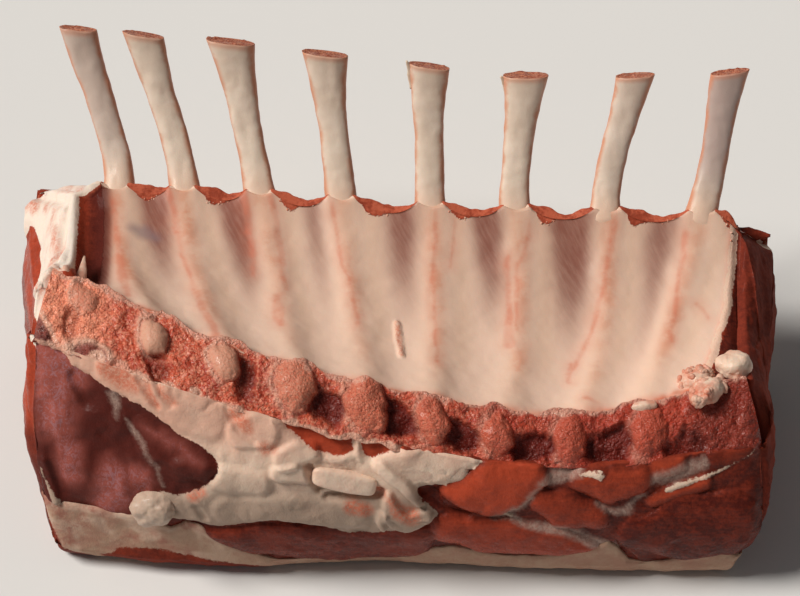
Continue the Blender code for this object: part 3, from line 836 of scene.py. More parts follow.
def fat_tint(recipe, colours, cloud, speck):
    """Fat of the front and the ends, brighter or pinker, darkened with painted shade low on the
    front and towards the right, with blood in it.
    """
    white = recipe.mix(cloud, colours.fat, colours.fat_pink)
    white = recipe.mix(0.65, white, colours.fat)
    white = recipe.mix(recipe.mark("bright"), white, colours.fat_bright)
    white = recipe.mix(recipe.times(recipe.mark("blush"), 0.9), white, colours.fat_pink)
    white = recipe.mix(recipe.times(recipe.mark("dull"), 0.85), white, colours.fat_painted_shade)
    blood = recipe.times(recipe.ramp(recipe.mark("stain"), -1.6, 1.0),
                         recipe.ramp(speck, 0.35, 0.6, 0.3, 0.85))
    return recipe.mix(blood, white, colours.stain)


def meat_look(colours):
    """Lean, fat sheet, silverskin and the lining of the hollow side."""
    look, recipe = new_look("raw_meat")
    place = recipe.place()
    cloud = recipe.group(mottling(), Place=place, Fineness=0.45)
    fibres = recipe.noise(recipe.place(scale=(0.16, 1.0, 1.0)), 0.75, 3.0, 0.6)
    threads = recipe.noise(recipe.place(scale=(0.7, 0.55, 0.55)), 1.1, 4.0, 0.7, 1.5)
    speck = recipe.noise(place, 0.8, 4.0, 0.7)

    edge = ragged_edge()
    lined = recipe.group(edge, Place=place, Distance=recipe.mark("lining"), Tear=1.6,
                         Softness=0.5)
    fatty = recipe.group(edge, Place=place, Distance=recipe.mark("fat"), Tear=1.5,
                         Softness=0.35)
    skin = recipe.group(edge, Place=place, Distance=recipe.mark("silver"), Tear=1.6,
                        Softness=2.2)
    skin = recipe.times(skin, recipe.ramp(threads, 0.38, 0.62, 0.45, 0.8))
    base = recipe.mix(lined, lean_tint(recipe, colours, cloud, fibres, threads),
                      lining_tint(recipe, colours, place))
    base = recipe.mix(skin, base, colours.silver)
    base = recipe.mix(fatty, base, fat_tint(recipe, colours, cloud, speck))
    # Painted shade: the deep mark darkens the lean on the shaded left wall of the hollow side,
    # beyond its right rim, on the right end face and a little on the dried lean of the front, and
    # makes it rougher there
    base = recipe.mix(recipe.ramp(recipe.mark("deep"), 0.0, 1.0, 0.0, 0.85), base,
                      colours.lean_dark)

    pale_mask = recipe.math("MAXIMUM", lined, fatty)
    wet = recipe.ramp(recipe.noise(place, 3.0, 2.0), 0.4, 0.6, 0.24, 0.40)
    rough_value = recipe.blend(pale_mask, wet, 0.40)
    rough_value = recipe.blend(recipe.ramp(recipe.mark("deep"), 0.0, 0.4), rough_value, 0.85)
    height = recipe.group(moist_grain(), Place=place, Grain=0.3)
    height = recipe.math("ADD", height, recipe.times(fibres, 0.15))
    height = recipe.times(height, recipe.ramp(lined, 0.0, 1.0, 1.0, 0.22))
    finish_look(recipe, base, rough_value, height, 0.35, gloss=0.09, coat=0.02)
    return look


def cap_look(colours):
    """The fat cap: tan fat with some red meat showing through."""
    look, recipe = new_look("fat_cap")
    place = recipe.place()
    cloud = recipe.group(mottling(), Place=place, Fineness=0.35)
    base = recipe.mix(recipe.times(cloud, 0.5), colours.cap, colours.cap_pink)
    base = recipe.mix(recipe.mark("pale"), base, colours.fat)
    blush = recipe.times(recipe.mark("blush"), recipe.ramp(cloud, 0.0, 1.0, 0.3, 0.9))
    base = recipe.mix(blush, base, colours.cap_pink)
    lean = recipe.group(ragged_edge(), Place=place, Distance=recipe.mark("lean"), Tear=3.0,
                        Softness=0.8)
    redness = recipe.math("ADD", recipe.ramp(cloud, 0.0, 1.0, 0.2, 0.45),
                          # the same mark brightens the red lean at the low left end of the cap
                          recipe.times(recipe.mark("fresh_and_lit"), 0.4))
    red = recipe.mix(redness, colours.lean_dark, colours.lean)
    base = recipe.mix(lean, base, red)
    height = recipe.group(moist_grain(), Place=place, Grain=0.25)
    finish_look(recipe, base, 0.60, height, 0.35, gloss=0.06, coat=0.0)
    return look


def bone_look(colours):
    """Cleaned rib: ivory, with pink skin along its edges and a spongy sawn tip."""
    look, recipe = new_look("rib_bone")
    place = recipe.place()
    speck = recipe.noise(place, 0.55, 3.0, 0.7)
    soft_cloud = recipe.group(mottling(), Place=place, Fineness=0.0)
    tint = recipe.mix(recipe.times(soft_cloud, 0.5), colours.bone, colours.bone_warm)
    tint = recipe.mix(recipe.times(recipe.mark("grey"), 0.8), tint, colours.bone_grey)
    rim_edge = recipe.math("ADD", recipe.mark("rim"),
                           recipe.ramp(soft_cloud, 0.0, 1.0, -0.12, 0.10))
    tint = recipe.mix(recipe.mark("base"), tint, colours.lining_light)
    tint = recipe.mix(recipe.ramp(rim_edge, 0.40, 1.00, 0.0, 0.85), tint, colours.bone_rim)
    reddened = recipe.ramp(recipe.mark("tip"), 0.15, 1.0, 0.0, 0.55)
    tint = recipe.mix(reddened, tint, colours.bone_rim)
    sawn = recipe.mix(recipe.ramp(speck, 0.40, 0.62), colours.tip, colours.tip_light)
    base = recipe.mix(recipe.ramp(recipe.mark("sawn"), 0.2, 0.8), tint, sawn)
    height = recipe.group(moist_grain(), Place=place, Grain=0.3)
    finish_look(recipe, base, 0.42, height, 0.12, gloss=0.18, scatter=0.08)
    return look


def knob_tint(recipe, colours, cells):
    """Knobs from coral to pale, with red grains in them."""
    paleness = recipe.mark("knob_pale")
    knob = recipe.mix(paleness, colours.knob, colours.knob_pale)
    red_grains = recipe.times(recipe.ramp(cells, 0.36, 0.58, 0.85, 0.0),
                              recipe.ramp(paleness, 0.3, 1.0, 1.0, 0.25))
    knob = recipe.mix(red_grains, knob, colours.marrow)
    return recipe.mix(recipe.times(recipe.mark("shade"), 0.5), knob, colours.marrow_red)


def marrow_look(colours):
    """Sawn backbone: red spongy bone, pale knobs and dark hollows."""
    look, recipe = new_look("sawn_backbone")
    place = recipe.place()
    cells = recipe.noise(place, 0.6, 4.0, 0.75)
    cloud = recipe.group(mottling(), Place=place, Fineness=0.35)
    bent = recipe.node("ShaderNodeTexNoise", {"Vector": place, "Scale": 0.7})
    warped = recipe.node("ShaderNodeVectorMath", {0: bent.outputs["Color"], 1: (1.2, 1.2, 1.2),
                                                  2: place}, operation="MULTIPLY_ADD")
    grains = recipe.node("ShaderNodeTexVoronoi", {"Vector": warped.outputs[0], "Scale": 1.5})
    between = recipe.ramp(grains.outputs["Distance"], 0.40, 0.85)
    picked = recipe.ramp(grains.outputs["Color"], 0.35, 0.75)
    base = recipe.mix(recipe.times(cloud, 0.95), colours.marrow, colours.marrow_red)
    # painted light on the left end of the band
    base = recipe.mix(recipe.mark("fresh_and_lit"), base, colours.marrow_lit)
    base = recipe.mix(recipe.times(picked, 0.55), base, colours.marrow_light)
    base = recipe.mix(recipe.times(between, 0.5), base, colours.marrow_red)
    base = recipe.mix(recipe.times(recipe.mark("shade"), 0.8), base, colours.marrow_red)
    knob, paleness = recipe.mark("knob"), recipe.mark("knob_pale")
    on_knob = recipe.times(knob, recipe.ramp(paleness, 0.1, 0.8, 0.5, 1.0))
    base = recipe.mix(on_knob, base, knob_tint(recipe, colours, cells))
    # pale shells on the knobs' left sides, partly painted light
    on_wall = recipe.times(recipe.mark("wall"), recipe.ramp(cells, 0.35, 0.55, 0.3, 0.85))
    base = recipe.mix(on_wall, base, colours.fat_pink)
    # hollows darkened: dark tissue with painted shade
    base = recipe.mix(recipe.mark("hollow"), base, colours.marrow_dark_and_shade)
    # painted shade towards the right end of the band, over dark meat there
    base = recipe.mix(recipe.times(recipe.mark("far"), 0.5), base, colours.lean_dark)
    dried = recipe.mix(cloud, colours.mauve, colours.mauve_light)
    base = recipe.mix(recipe.mark("oval"), base, dried)
    on_fat = recipe.times(recipe.mark("fatty"), recipe.ramp(cloud, 0.0, 1.0, 0.6, 1.0))
    base = recipe.mix(on_fat, base, colours.fat_pink)
    on_lip = recipe.times(recipe.mark("lip"), recipe.ramp(cells, 0.35, 0.6, 0.35, 0.9))
    base = recipe.mix(on_lip, base, recipe.mix(0.45, colours.lining, colours.stain))
    fine = recipe.blend(0.6, recipe.noise(place, 0.5, 3.0, 0.6), recipe.noise(place, 1.4))
    height = recipe.math("SUBTRACT", fine, recipe.times(between, 0.2))
    smooth_knob = recipe.times(knob, paleness)
    height = recipe.times(height, recipe.ramp(smooth_knob, 0.2, 1.0, 1.0, 0.3))
    wet = recipe.ramp(recipe.noise(place, 2.0, 2.0), 0.4, 0.6, 0.14, 0.32)
    wet = recipe.blend(recipe.times(smooth_knob, 1.2, clamp=True), wet, 0.50)
    finish_look(recipe, base, wet, height, 0.8, gloss=0.28, coat=0.10, scatter=0.05)
    return look


def lump_look(colours):
    """Loose fat."""
    look, recipe = new_look("loose_fat")
    place = recipe.place()
    cloud = recipe.group(mottling(), Place=place, Fineness=0.35)
    base = recipe.mix(recipe.times(cloud, 0.4), colours.fat, colours.fat_pink)
    # painted shade on the lumps' fat
    base = recipe.mix(recipe.mark("dull"), base, colours.fat_painted_shade)
    blush = recipe.times(recipe.mark("blush"), recipe.ramp(cloud, 0.0, 1.0, 0.4, 1.0))
    base = recipe.mix(blush, base, colours.stain)
    height = recipe.group(moist_grain(), Place=place, Grain=0.25)
    finish_look(recipe, base, 0.42, height, 0.3, gloss=0.25)
    return look


# ---------------------------------------------------------------------------------------
# Pieces

# how far the corners of the meat and of the cap are rounded, in mm
CORNER_CUT = 1.8
CAP_CORNER = 3.6
# how far the lining and the fat lap over the backbone, in mm
LAP = 1.3
# how much deeper the ribs lie away from the cleaned edge than at it, in mm
RIB_SUNK = 1.8
# how far the left rim of the hollow side is pushed to the left, in mm
RIM_SHIFT = 8.5
# how deep the backbone's groove is, and how thick the cap's lip on the front is, in mm
GROOVE_DEPTH = 4.0
LIP_THICKNESS = 1.2
# exponent of a bone's section: 2 is an ellipse, and more is squarer
RIB_SQUARENESS = 2.3
# how grey each bare rib has dried, from 0 to 1
RIB_GREYS = (0.6, 0.0, 0.0, 0.0, 0.0, 0.0, 0.25, 1.0)
# how far the raised meat spreads beside a bare rib, to its left and its right, in mm
COLLAR_REACH = (3.4, 4.2)
# where the hollow side ends at the left and at the right, as Y and X
LEFT_RIM = [(-30, -96.5), (-12, -93.5), (0, -93.8), (12, -94.3), (24, -94.8), (40, -95)]
RIGHT_RIM = [(-50, 86), (-40, 88.5), (-30, 91), (-20, 94.5), (-8, 98), (2, 99.5), (20, 101)]

# how many rows of points the surfaces and bones have, and how many go round a bone
FRONT_STEPS = (66, 56)
UNDER_STEPS = (4, 10, (12, 8))
EDGE_STEPS = 50
TROUGH_STEPS = 118
END_RINGS = 34
LIP_STEPS = 34
LIP_SEARCH_STEPS = 60
CAP_STEPS = (10, 24, (34, 26))
RIB_STEPS = 26
BONE_STEPS = 70
BONE_SPOKES = 44


def rib_x(index, w):
    """X of a rib's middle at w across the hollow side."""
    x_chine, x_edge = RIBS[index][:2]
    shift, bow = RIB_BOWS[index]
    return x_chine + (x_edge - x_chine) * w + shift * (1 - w) + bow * 4 * w * (1 - w)


def meat_rings(stations):
    """Sections of the meat and where each kind of surface lies round them."""
    t = np.linspace(0, 1, stations)
    front = front_rows(t, FRONT_STEPS)
    outer = outer_run(t, *UNDER_STEPS)
    inner = outer + inward(outer) * (CAP_THICKNESS + GAP)
    edge = inner[-1] + (line("inner_edge", t) - inner[-1]) * edge_places()[:, None, None]
    hollow = np.array([trough(t, w) for w in np.linspace(1, 0, TROUGH_STEPS)])
    high, low = line("chine_high", t), line("chine_low", t)
    step, left = across(high, low)
    groove = np.array([high + step * 1.2, high + left * GROOVE_DEPTH + step * 3.0,
                       low + left * GROOVE_DEPTH - step * 3.0, low - step * 1.2])
    parts = {"front": front, "under": inner, "edge": edge, "trough": hollow, "groove": groove}
    lap = (outer[-1] - inner[-1]) / CAP_THICKNESS
    edge += lap * (1.6 * smooth((0.13 - edge_places()) / 0.13))[:, None, None]
    for part, shares in ((edge, edge_places()), (hollow, np.linspace(1, 0, TROUGH_STEPS))):
        part[..., 0] -= RIM_SHIFT * shares[:, None] * bell(part[..., 0] + 86, 10.5)
    rows = np.concatenate(list(parts.values()))
    starts = np.cumsum([0] + [len(part) for part in parts.values()])
    where = {name: slice(a, b) for name, a, b in zip(parts, starts, starts[1:])}
    return t, rows.transpose(1, 0, 2), where


def edge_places():
    """Shares of the way over the cleaned edge, closer together near the hollow side."""
    return 1 - (1 - np.linspace(0, 1, EDGE_STEPS + 1)[1:-1]) ** 1.5


def domed(ring, side, count):
    """Rings inside an end section, outermost last, bulging along X."""
    middle = ring.mean(axis=0)
    shares = 1 - (1 - np.linspace(0.04, 1, count + 1)[:-1]) ** 1.15
    rings = [middle + (ring - middle) * q + [side * END_DOME * (1 - q ** 5), 0, 0]
             for q in shares]
    return np.array(rings), shares


def rib_ridges(x, w):
    """Over the ribs 1, between them 0; and the place between two ribs from 0 to 1."""
    middles = np.array([rib_x(i, w) for i in range(len(RIBS))])
    near = np.min(np.abs(x - middles), axis=0)
    gap = np.clip(np.sum(x > middles, axis=0) - 1, -1, len(RIBS) - 1)
    left = np.where(gap >= 0, np.take_along_axis(middles, np.maximum(gap, 0)[None], 0)[0],
                    middles[0] - 20)
    right = np.take_along_axis(middles, np.minimum(gap + 1, len(RIBS) - 1)[None], 0)[0]
    right = np.where(gap == len(RIBS) - 1, left + 24, right)
    place = (x - left) / (right - left)
    return bell(near, 4.6), gap, np.clip(place, 0, 1)


def paint_front(sizes, p, marks, lift):
    """Fat, muscles, silverskin and folds on the front."""
    x, z = p[..., 0], p[..., 2]
    warp_x = x + 1.1 * rough(p, 7.0, 11)
    warp_z = z + 0.8 * rough(p, 6.0, 17)
    sheet = outline(FAT_SHEET, x + 0.5 * rough(p, 3.0, 5), z + 0.5 * rough(p, 3.0, 8))
    sheet = np.minimum(sheet, -spines(FAT_WINDOWS, warp_x, warp_z))
    lines = spines(FAT_LINES, x, z)
    silver = spines(SILVER, warp_x, warp_z)
    tone = np.full(x.shape, 0.14)
    bulge = np.zeros(x.shape)
    for shade, height, points in MUSCLES:
        inside = spine(points, warp_x, warp_z)
        tone = tone + (shade - tone) * smooth((inside + 1.2) / 3.0)
        bulge = np.maximum(bulge, 1.1 * height * swell(inside + 0.6, 6.5))
    tone = np.where(spines(FAT_WINDOWS, warp_x, warp_z) > -1.0, 0.85, tone)
    fold = sum(height * smooth(1 + spine(points, x, z) / width)
               for height, width, points in FOLDS)
    over = swell(sheet, 2.2)
    border, high = facets(x + 2.0 * rough(p, 8.0, 23), 1.4 * z + 2.0 * rough(p, 8.0, 24), 10.5, 22)
    border_2, high_2 = facets(x + 1.0 * rough(p, 5.0, 26), z + 1.0 * rough(p, 5.0, 28), 5.0, 32)
    crumbly = smooth(0.5 + 1.6 * rough(p, 14.0, 34))
    creased = smooth(0.3 + 1.6 * rough(p, 16.0, 35))
    lumps = (0.70 * rough(p, 11.0, 21) + 0.06 * rough(p, 2.6, 25)
             + creased * (0.35 * high * smooth(border / 3.5) - 0.35 * bell(border, 0.7))
             + crumbly * (0.22 * high_2 * smooth(border_2 / 1.5) - 0.14 * bell(border_2, 0.5)))
    mauve_side = smooth((-47 - x) / 6) * (1 - over)
    lift += mauve_side * (0.9 * rough(p, 11.0, 27) + 0.4 * (0.5 - np.abs(wander(p, 5.0, 29))))
    marks["fat"] = np.maximum(sheet, lines)
    marks["silver"] = silver
    far_left = smooth((-101.5 - x) / 2.5) * smooth((z - 42) / 6)
    marks["tone"] = tone + (0.8 - tone) * far_left
    marks["mauve"] = smooth((-47 - x) / 6) * smooth((z - 20) / 6) * (1 - far_left)
    marks["deep"] = 0.16 * marks["mauve"]
    marks["violet"] = spines(VIOLET, warp_x, warp_z)
    marks["stain"] = spines(STAINS, x, z)
    marks["blush"] = np.clip(0.95 * smooth((z - 44) / 12) + 0.3 * creased * bell(border, 0.9)
                             + 0.25 * rough(p, 8.0, 36), 0, 1)
    # painted shade: darker fat low on the front and towards the right end
    marks["dull"] = np.maximum(smooth((46 - z) / 14), 0.5 * (x > 70))
    lift += (bulge * (1 - over) + over * (sizes.sheet / MM + lumps)
             + 0.45 * swell(lines, 1.0) + 0.15 * swell(silver, 1.5) + fold
             + 0.30 * rough(p, 5.0, 31) * (1 - over))
    covered = smooth((np.interp(x, *zip(*CAP_EDGE)) - z) / 1.5)
    lift -= covered * (lift + 0.5)


def gap_bands(gap, place, w):
    """How dark and how red the meat between two ribs shows through the lining."""
    dark = np.zeros(place.shape)
    red = np.zeros(place.shape)
    for index, (middle, half, depth, redness, reach) in enumerate(RIB_GAPS):
        here = (gap == index) * depth * bell(place - middle, half * 1.25)
        here = here * smooth((w - reach) / (1.15 - reach)) ** 0.7
        dark = np.maximum(dark, here)
        red = np.where(gap == index, redness * smooth((w - 0.55) / 0.4), red)
    return dark, red


def paint_trough(sizes, p, w, marks, lift):
    """Ridges over the ribs, hollows between them, streaks and flecks."""
    x, y = p[..., 0], p[..., 1]
    ridge, gap, place = rib_ridges(x + 0.8 * rough(p, 9.0, 41), w)
    rise = ridge * (1 - 0.5 * smooth((w - 0.84) / 0.13))
    dark, marks["gap_red"] = gap_bands(gap, place, w)
    inside_left = x - np.interp(y, *zip(*LEFT_RIM))
    inside_right = np.interp(y, *zip(*RIGHT_RIM)) - x
    wall = bell(inside_left - 7.0, 4.0)
    high_up = smooth((y + 24) / 14)
    # The second term darkens the left wall under the raised left rim: painted shadow over the dark
    # meat there.
    dark = np.maximum(dark * smooth((inside_left - 6) / 8),
                      0.95 * bell(np.maximum(inside_left - 9.0, 0), 3.0) * high_up)
    marks["gap"] = np.clip(dark, 0, 1)
    beside_rib = 0.9 * bell(place - 0.30, 0.14) * (gap >= 0) * smooth((w - 0.1) / 0.3)
    marks["ridge"] = np.maximum((0.6 + 0.4 * smooth((w - 0.75) / 0.2)) * ridge, beside_rib)
    rib_lines = np.max([bell(x - rib_x(i, w) - 0.5, 2.6) for i in range(len(RIBS))], axis=0)
    marks["rib_line"] = rib_lines * smooth((w - 0.05) / 0.3) * (0.7 + 0.5 * wander(p, 16.0, 44))
    marks["streak"] = spines(STREAKS, x + 0.6 * rough(p, 5.0, 43), y)
    marks["bruise"] = spines(BRUISES, x, y)
    beyond = smooth(-inside_right / 6.0)
    # painted shadow on the left wall under the raised left rim, and painted shade beyond the right
    # rim
    marks["deep"] = np.clip(bell(inside_left - 8.4, 2.9) * high_up + 0.75 * beyond, 0, 1)
    marks["blush"] = np.clip(bell(w, 0.035) * (0.75 + 0.5 * rough(p, 4.0, 45))
                             + 0.5 * bell(inside_right - 1.2, 1.6), 0, 1)
    beside = [x - rib_x(index, 1.0) for index in range(len(RIBS))]
    notch = np.max([1.8 * bell(away - 8.5, 3.0) for away in beside], axis=0)
    sleeve = np.max([bell(away, 4.4) for away in beside], axis=0)
    edge = (1 - w) * 62.0 + 0.2 - notch - 0.6 * rough(p, 3.0, 47) + 3.0 * sleeve
    torn_right = 0.9 * rough(p, 7.0, 49)
    marks["lining"] = np.minimum(np.minimum(edge, inside_left - 9.0 * high_up),
                                 inside_right - 1.6 + torn_right)
    marks["torn"] = -edge
    fleck = spines(RAISED_FLECKS, x, y)
    rail = np.minimum(inside_right + torn_right, 2.4 - inside_right - torn_right)
    rim = 1.4 - inside_left + 0.3 * rough(p, 7.0, 53)
    marks["fat"] = np.maximum(np.maximum(fleck - 0.3, rail), rim)
    grainy = 1.4 - 0.6 * np.abs(inside_left + 5.0) + 1.6 * rough(p * [1, 0.4, 1], 1.8, 56)
    marks["stain"] = np.where(inside_left < 4, grainy * smooth((y - 2) / 6) - 1.2, fleck - 0.6)
    marks["bright"] = smooth((2.0 - inside_left) / 2)
    # past the right rim the lean is darker, partly painted shade
    marks["tone"] = np.where(inside_left < 12, 0.9 - 0.7 * smooth((inside_left - 1.0) / 5.0),
                             np.where(inside_right < 0, 0.12, 0.65))
    rim_left = sizes.rim / MM * smooth((4.0 - inside_left) / 4.5)
    between = (gap >= 0) & (gap < len(RIBS) - 1)
    lift += (rise * sizes.ridge / MM - sizes.hollow / MM * bell(place - 0.5, 0.28) * between
             + rim_left - 1.6 * wall + 0.6 * bell(inside_right - 1.2, 1.3) - 1.5 * beyond
             - 0.8 * bell(inside_left + 2.6 + 0.04 * y, 0.7) - 0.6 * bell(inside_left + 0.9, 0.5)
             + (0.6 + 0.3 * rough(p, 1.5, 57)) * swell(fleck, 0.8) + 0.16 * rough(p, 6.0, 51)
             + 0.6 * rough(p, 3.0, 55) * beyond)


def paint_edge(p, v, marks, lift):
    """Torn meat of the cleaned edge: v is 0 at the fat cap and 1 at the hollow side."""
    x = p[..., 0]
    layers = v + 0.05 * rough(p, 5.0, 61)
    fat = np.maximum(20 * (0.22 - layers), 2.2 - 42 * np.abs(layers - 0.55))
    marks["fat"] = np.maximum(fat, np.where(x < -86, 9 - np.abs(x + 97) * 0.6, -5.0))
    marks["tone"] = np.where(layers > 0.60, 0.62, 0.42)
    marks["torn"] = (layers - 0.4) * 4
    marks["stain"] = np.where(x < -86, -0.8 + 1.5 * rough(p * [1, .25, .25], 2.5, 62), -5.0)
    marks["bright"] = smooth((-86 - x) / 4)
    beside = [x - rib_x(index, 1.0) for index in range(len(RIBS))]
    bank = np.max([np.maximum(bell(away - 8.0, 5.0), 0.6 * bell(away + 7.0, 3.0))
                   for away in beside], axis=0)
    flare = 3.0 + 2.4 * smooth((v - 0.80) / 0.20)
    sleeve = np.max([bell(away / flare, 1.0) for away in beside], axis=0)
    marks["lining"] = 12 * sleeve - 7 - 30 * (1 - v)
    inland = smooth((x + 92) / 6) * smooth((102 - x) / 5)
    crest = smooth((1 - v) / 0.055) * smooth((v - 0.45) / 0.40)
    height = 1.5 + 2.6 * bank + 0.8 * rough(p, 5.0, 63)
    lift += 0.9 * smooth((0.14 - v) / 0.14) + 3.4 * smooth((-84 - x) / 6) * smooth(v / 0.3)
    lift += crest * height * inland * (1 - 0.7 * sleeve)
    lift += 0.3 * rough(p, 2.0, 67) * crest + 0.3 * rough(p, 7.0, 69)


def lap_over(rings, where):
    """Lets the lining and the fat lie unevenly over the sawn backbone's edges."""
    for name, start, way in (("trough", where["trough"].stop - 1, -1),
                             ("front", where["front"].start, 1)):
        area = rings[:, where[name]]
        border = rings[:, start][:, None]
        across_band, _ = across(rings[:, where["trough"].stop - 1], rings[:, 0])
        away = np.linalg.norm(area - border, axis=-1)
        reach = LAP * (0.55 + 0.9 * rough(border * np.ones_like(area), 4.5, 121))
        toward = -way * across_band[:, None] * (reach * bell(away, 2.2))[..., None]
        rings[:, where[name]] = area + toward


def raise_collars(sizes, rows, where):
    """Pulls the meat up round each bare rib where it leaves the cleaned edge."""
    for index in range(len(RIBS)):
        x_edge = rib_x(index, 1.0)
        base = trough_at(x_edge, 1.0)
        tip = np.array(RIBS[index][2:5])
        way = (tip - base) / np.linalg.norm(tip - base)
        for name in ("edge", "trough"):
            part = rows[:, where[name]]
            away = part - base
            beside = away[..., 0]
            reach = np.where(beside < 0, *COLLAR_REACH)
            strength = np.exp(-np.maximum(np.abs(beside) - RIB_HALF_WIDTH * 0.85, 0) / reach)
            strength = strength * bell(away[..., 1] - 0.5, 3.4) * (1 - 0.3 * bell(beside, 3.2))
            part += way * (strength * sizes.collar / MM)[..., None]


def paint_ends(p, shares, side, marks, lift, outer):
    """Cut faces of the two ends: layers under the cap, muscles and seams inside."""
    y, z = p[..., 1], p[..., 2]
    depth = np.min(np.hypot(y[..., None] - outer[:, 1], z[..., None] - outer[:, 2]), axis=-1)
    depth = depth - CAP_THICKNESS + 0.7 * rough(p, 5.0, 71)
    upper = smooth(y / 28) * smooth((z - 8) / 14)
    layer = 1.4 + (7.5 if side < 0 else 2.0) * upper
    fat = np.minimum(depth - 2.4 * upper, layer + 2.4 * upper - depth)
    eye = spine([(-36, 34, 15), (-24, 32, 17)], y, z)
    second = spine([(4, 28, 12), (17, 29, 10)], y, z)
    third = spine([(-14, 11, 6), (8, 10, 6)], y, z)
    seam = np.min([np.abs(eye), np.abs(second), np.abs(third)], axis=0)
    seams = 0.7 - seam + 0.6 * rough(p, 4.0, 73) - 4 * smooth((z - 32) / 4)
    inner = 50 * ((0.62 if side < 0 else 0.84) - shares[:, None])
    fat = np.maximum(fat, np.minimum(np.minimum(seams, depth - 1), inner))
    if side > 0:
        fat = np.minimum(fat, 50 * (0.60 - shares[:, None]) + 60 * smooth((y - 5) / 10))
        # painted shade on the right end face, which looks away from the key light
        marks["deep"] = np.full(y.shape, 0.35)
    marks["tone"] = np.where(eye > 0, 0.50, 0.34) + 0.3 * (depth < 2.4 * upper)
    marks["torn"] = np.where(depth < 2.4 * upper, 1.0, -2.0)
    bulge = 0.9 * np.max([swell(eye, 7), swell(second, 6), swell(third, 4)], axis=0)
    if side < 0:
        roof = np.interp(y, (-32, -11, 25, 34, 47), (67, 73, 63, 56, 45))
        wall = np.interp(y, (-32, -16, -8, 4, 12, 30, 47), (2, 6, 22, 30, 28, 19, 14))
        flank = wall - (roof - z) + 1.6 * rough(p, 7.0, 77)
        outermost = np.interp(y, (8, 16, 24, 32), (104.4, 105.0, 107.0, 110.0))
        flank = np.minimum(flank, 1.5 * (p[..., 0] + outermost) + 60 * smooth((y - 28) / 8))
        fat = np.maximum(fat, flank)
        marks["tone"] += 0.4 * smooth((z - 32) / 6)
        down = roof - z + 0.8 * rough(p, 9.0, 80)
        grainy = 0.3 + 1.6 * rough(p * [1, 0.25, 0.8], 1.6, 79)
        marks["stain"] = np.where(flank > 0, grainy - 0.60 * np.abs(down - 7.5), -5.0)
        marks["bright"] = np.full(y.shape, 0.8)
        marks["mauve"] = 0.8 * smooth((-12 - y) / 10) * smooth((50 - z) / 10)
        creases = 0.9 * bell(down - 3.2, 0.7) + 0.8 * bell(down - 5.6 + 0.05 * y, 0.8)
        bulge = bulge + 2.0 * swell(flank, 6) - creases
    marks["fat"] = fat
    lift += (bulge + 0.5 * rough(p, 4.5, 75)) * smooth((1 - shares[:, None]) * 8)


# the meat's marks where nothing is painted: distances in mm inside a shape, then shares
SHAPE_MARKS = ("fat", "silver", "violet", "stain", "lining", "streak", "bruise", "torn")
SHARE_MARKS = ("mauve", "ridge", "gap", "gap_red", "rib_line", "deep", "blush", "dull", "bright")
PLAIN_LEAN = {"tone": 0.4, **dict.fromkeys(SHAPE_MARKS, -5.0), **dict.fromkeys(SHARE_MARKS, 0.0)}


def empty_marks(shape):
    """Every mark of the meat, as on plain lean."""
    return {name: np.full(shape, value) for name, value in PLAIN_LEAN.items()}


def make_meat(sizes, colours):
    """The lean with its fat sheet, lining, torn edge and two cut ends, as one mesh."""
    stations = sizes.stations
    t, rings, where = meat_rings(stations)
    marks = empty_marks(rings.shape[:2])
    lift = np.zeros(rings.shape[:2])

    w = np.linspace(1, 0, TROUGH_STEPS)[None, :] * np.ones((stations, 1))
    v = edge_places()[None, :] * np.ones((stations, 1))
    painters = {
        "front": lambda p, held, raised: paint_front(sizes, p, held, raised),
        "trough": lambda p, held, raised: paint_trough(sizes, p, w, held, raised),
        "edge": lambda p, held, raised: paint_edge(p, v, held, raised),
    }
    for name, paint in painters.items():
        area = where[name]
        held = {key: values[:, area] for key, values in marks.items()}
        paint(rings[:, area], held, lift[:, area])
        for key, values in held.items():
            marks[key][:, area] = values
    under = rings[:, where["under"]]
    high_left = (under[..., 0] < -94) & (under[..., 2] > 50)
    marks["fat"][:, where["under"]] = np.where(high_left, 5.0, -5.0)
    marks["tone"][:, where["under"]] = np.where(under[..., 0] < -94, 0.85, 0.4)
    from_end = np.minimum(rings[..., 0] - rings[:1, :, 0], rings[-1:, :, 0] - rings[..., 0])
    lift -= CORNER_CUT * bell(from_end, 2.6)
    lap_over(rings, where)

    ends = []
    for side, section in ((-1, 0), (1, -1)):
        inner, shares = domed(rings[section], side, END_RINGS)
        end_marks = empty_marks(inner.shape[:2])
        end_lift = np.zeros(inner.shape[:2])
        outer = outer_run(t[[section]], *UNDER_STEPS)[:, 0]
        paint_ends(inner, shares, side, end_marks, end_lift, outer)
        blend = smooth((shares[:, None] - 0.9) / 0.1)
        end_lift = end_lift * (1 - blend) + lift[section] * blend
        end_lift -= CORNER_CUT * bell((1 - shares[:, None]) * 45, 2.6) * (1 - blend)
        ends.append((inner, end_marks, end_lift))
    (left, left_marks, left_lift), (right, right_marks, right_lift) = ends
    whole = np.concatenate([left, rings, right[::-1]])
    lifts = np.concatenate([left_lift, lift, right_lift[::-1]])
    whole = whole + normals(whole) * lifts[..., None]
    raise_collars(sizes, whole, where)
    held = {key: closed_mark(np.concatenate([left_marks[key], marks[key],
                                             right_marks[key][::-1]])) for key in marks}
    return piece("meat_body", closed(whole), skin_faces(*whole.shape[:2]), meat_look(colours),
                 "meat", held)


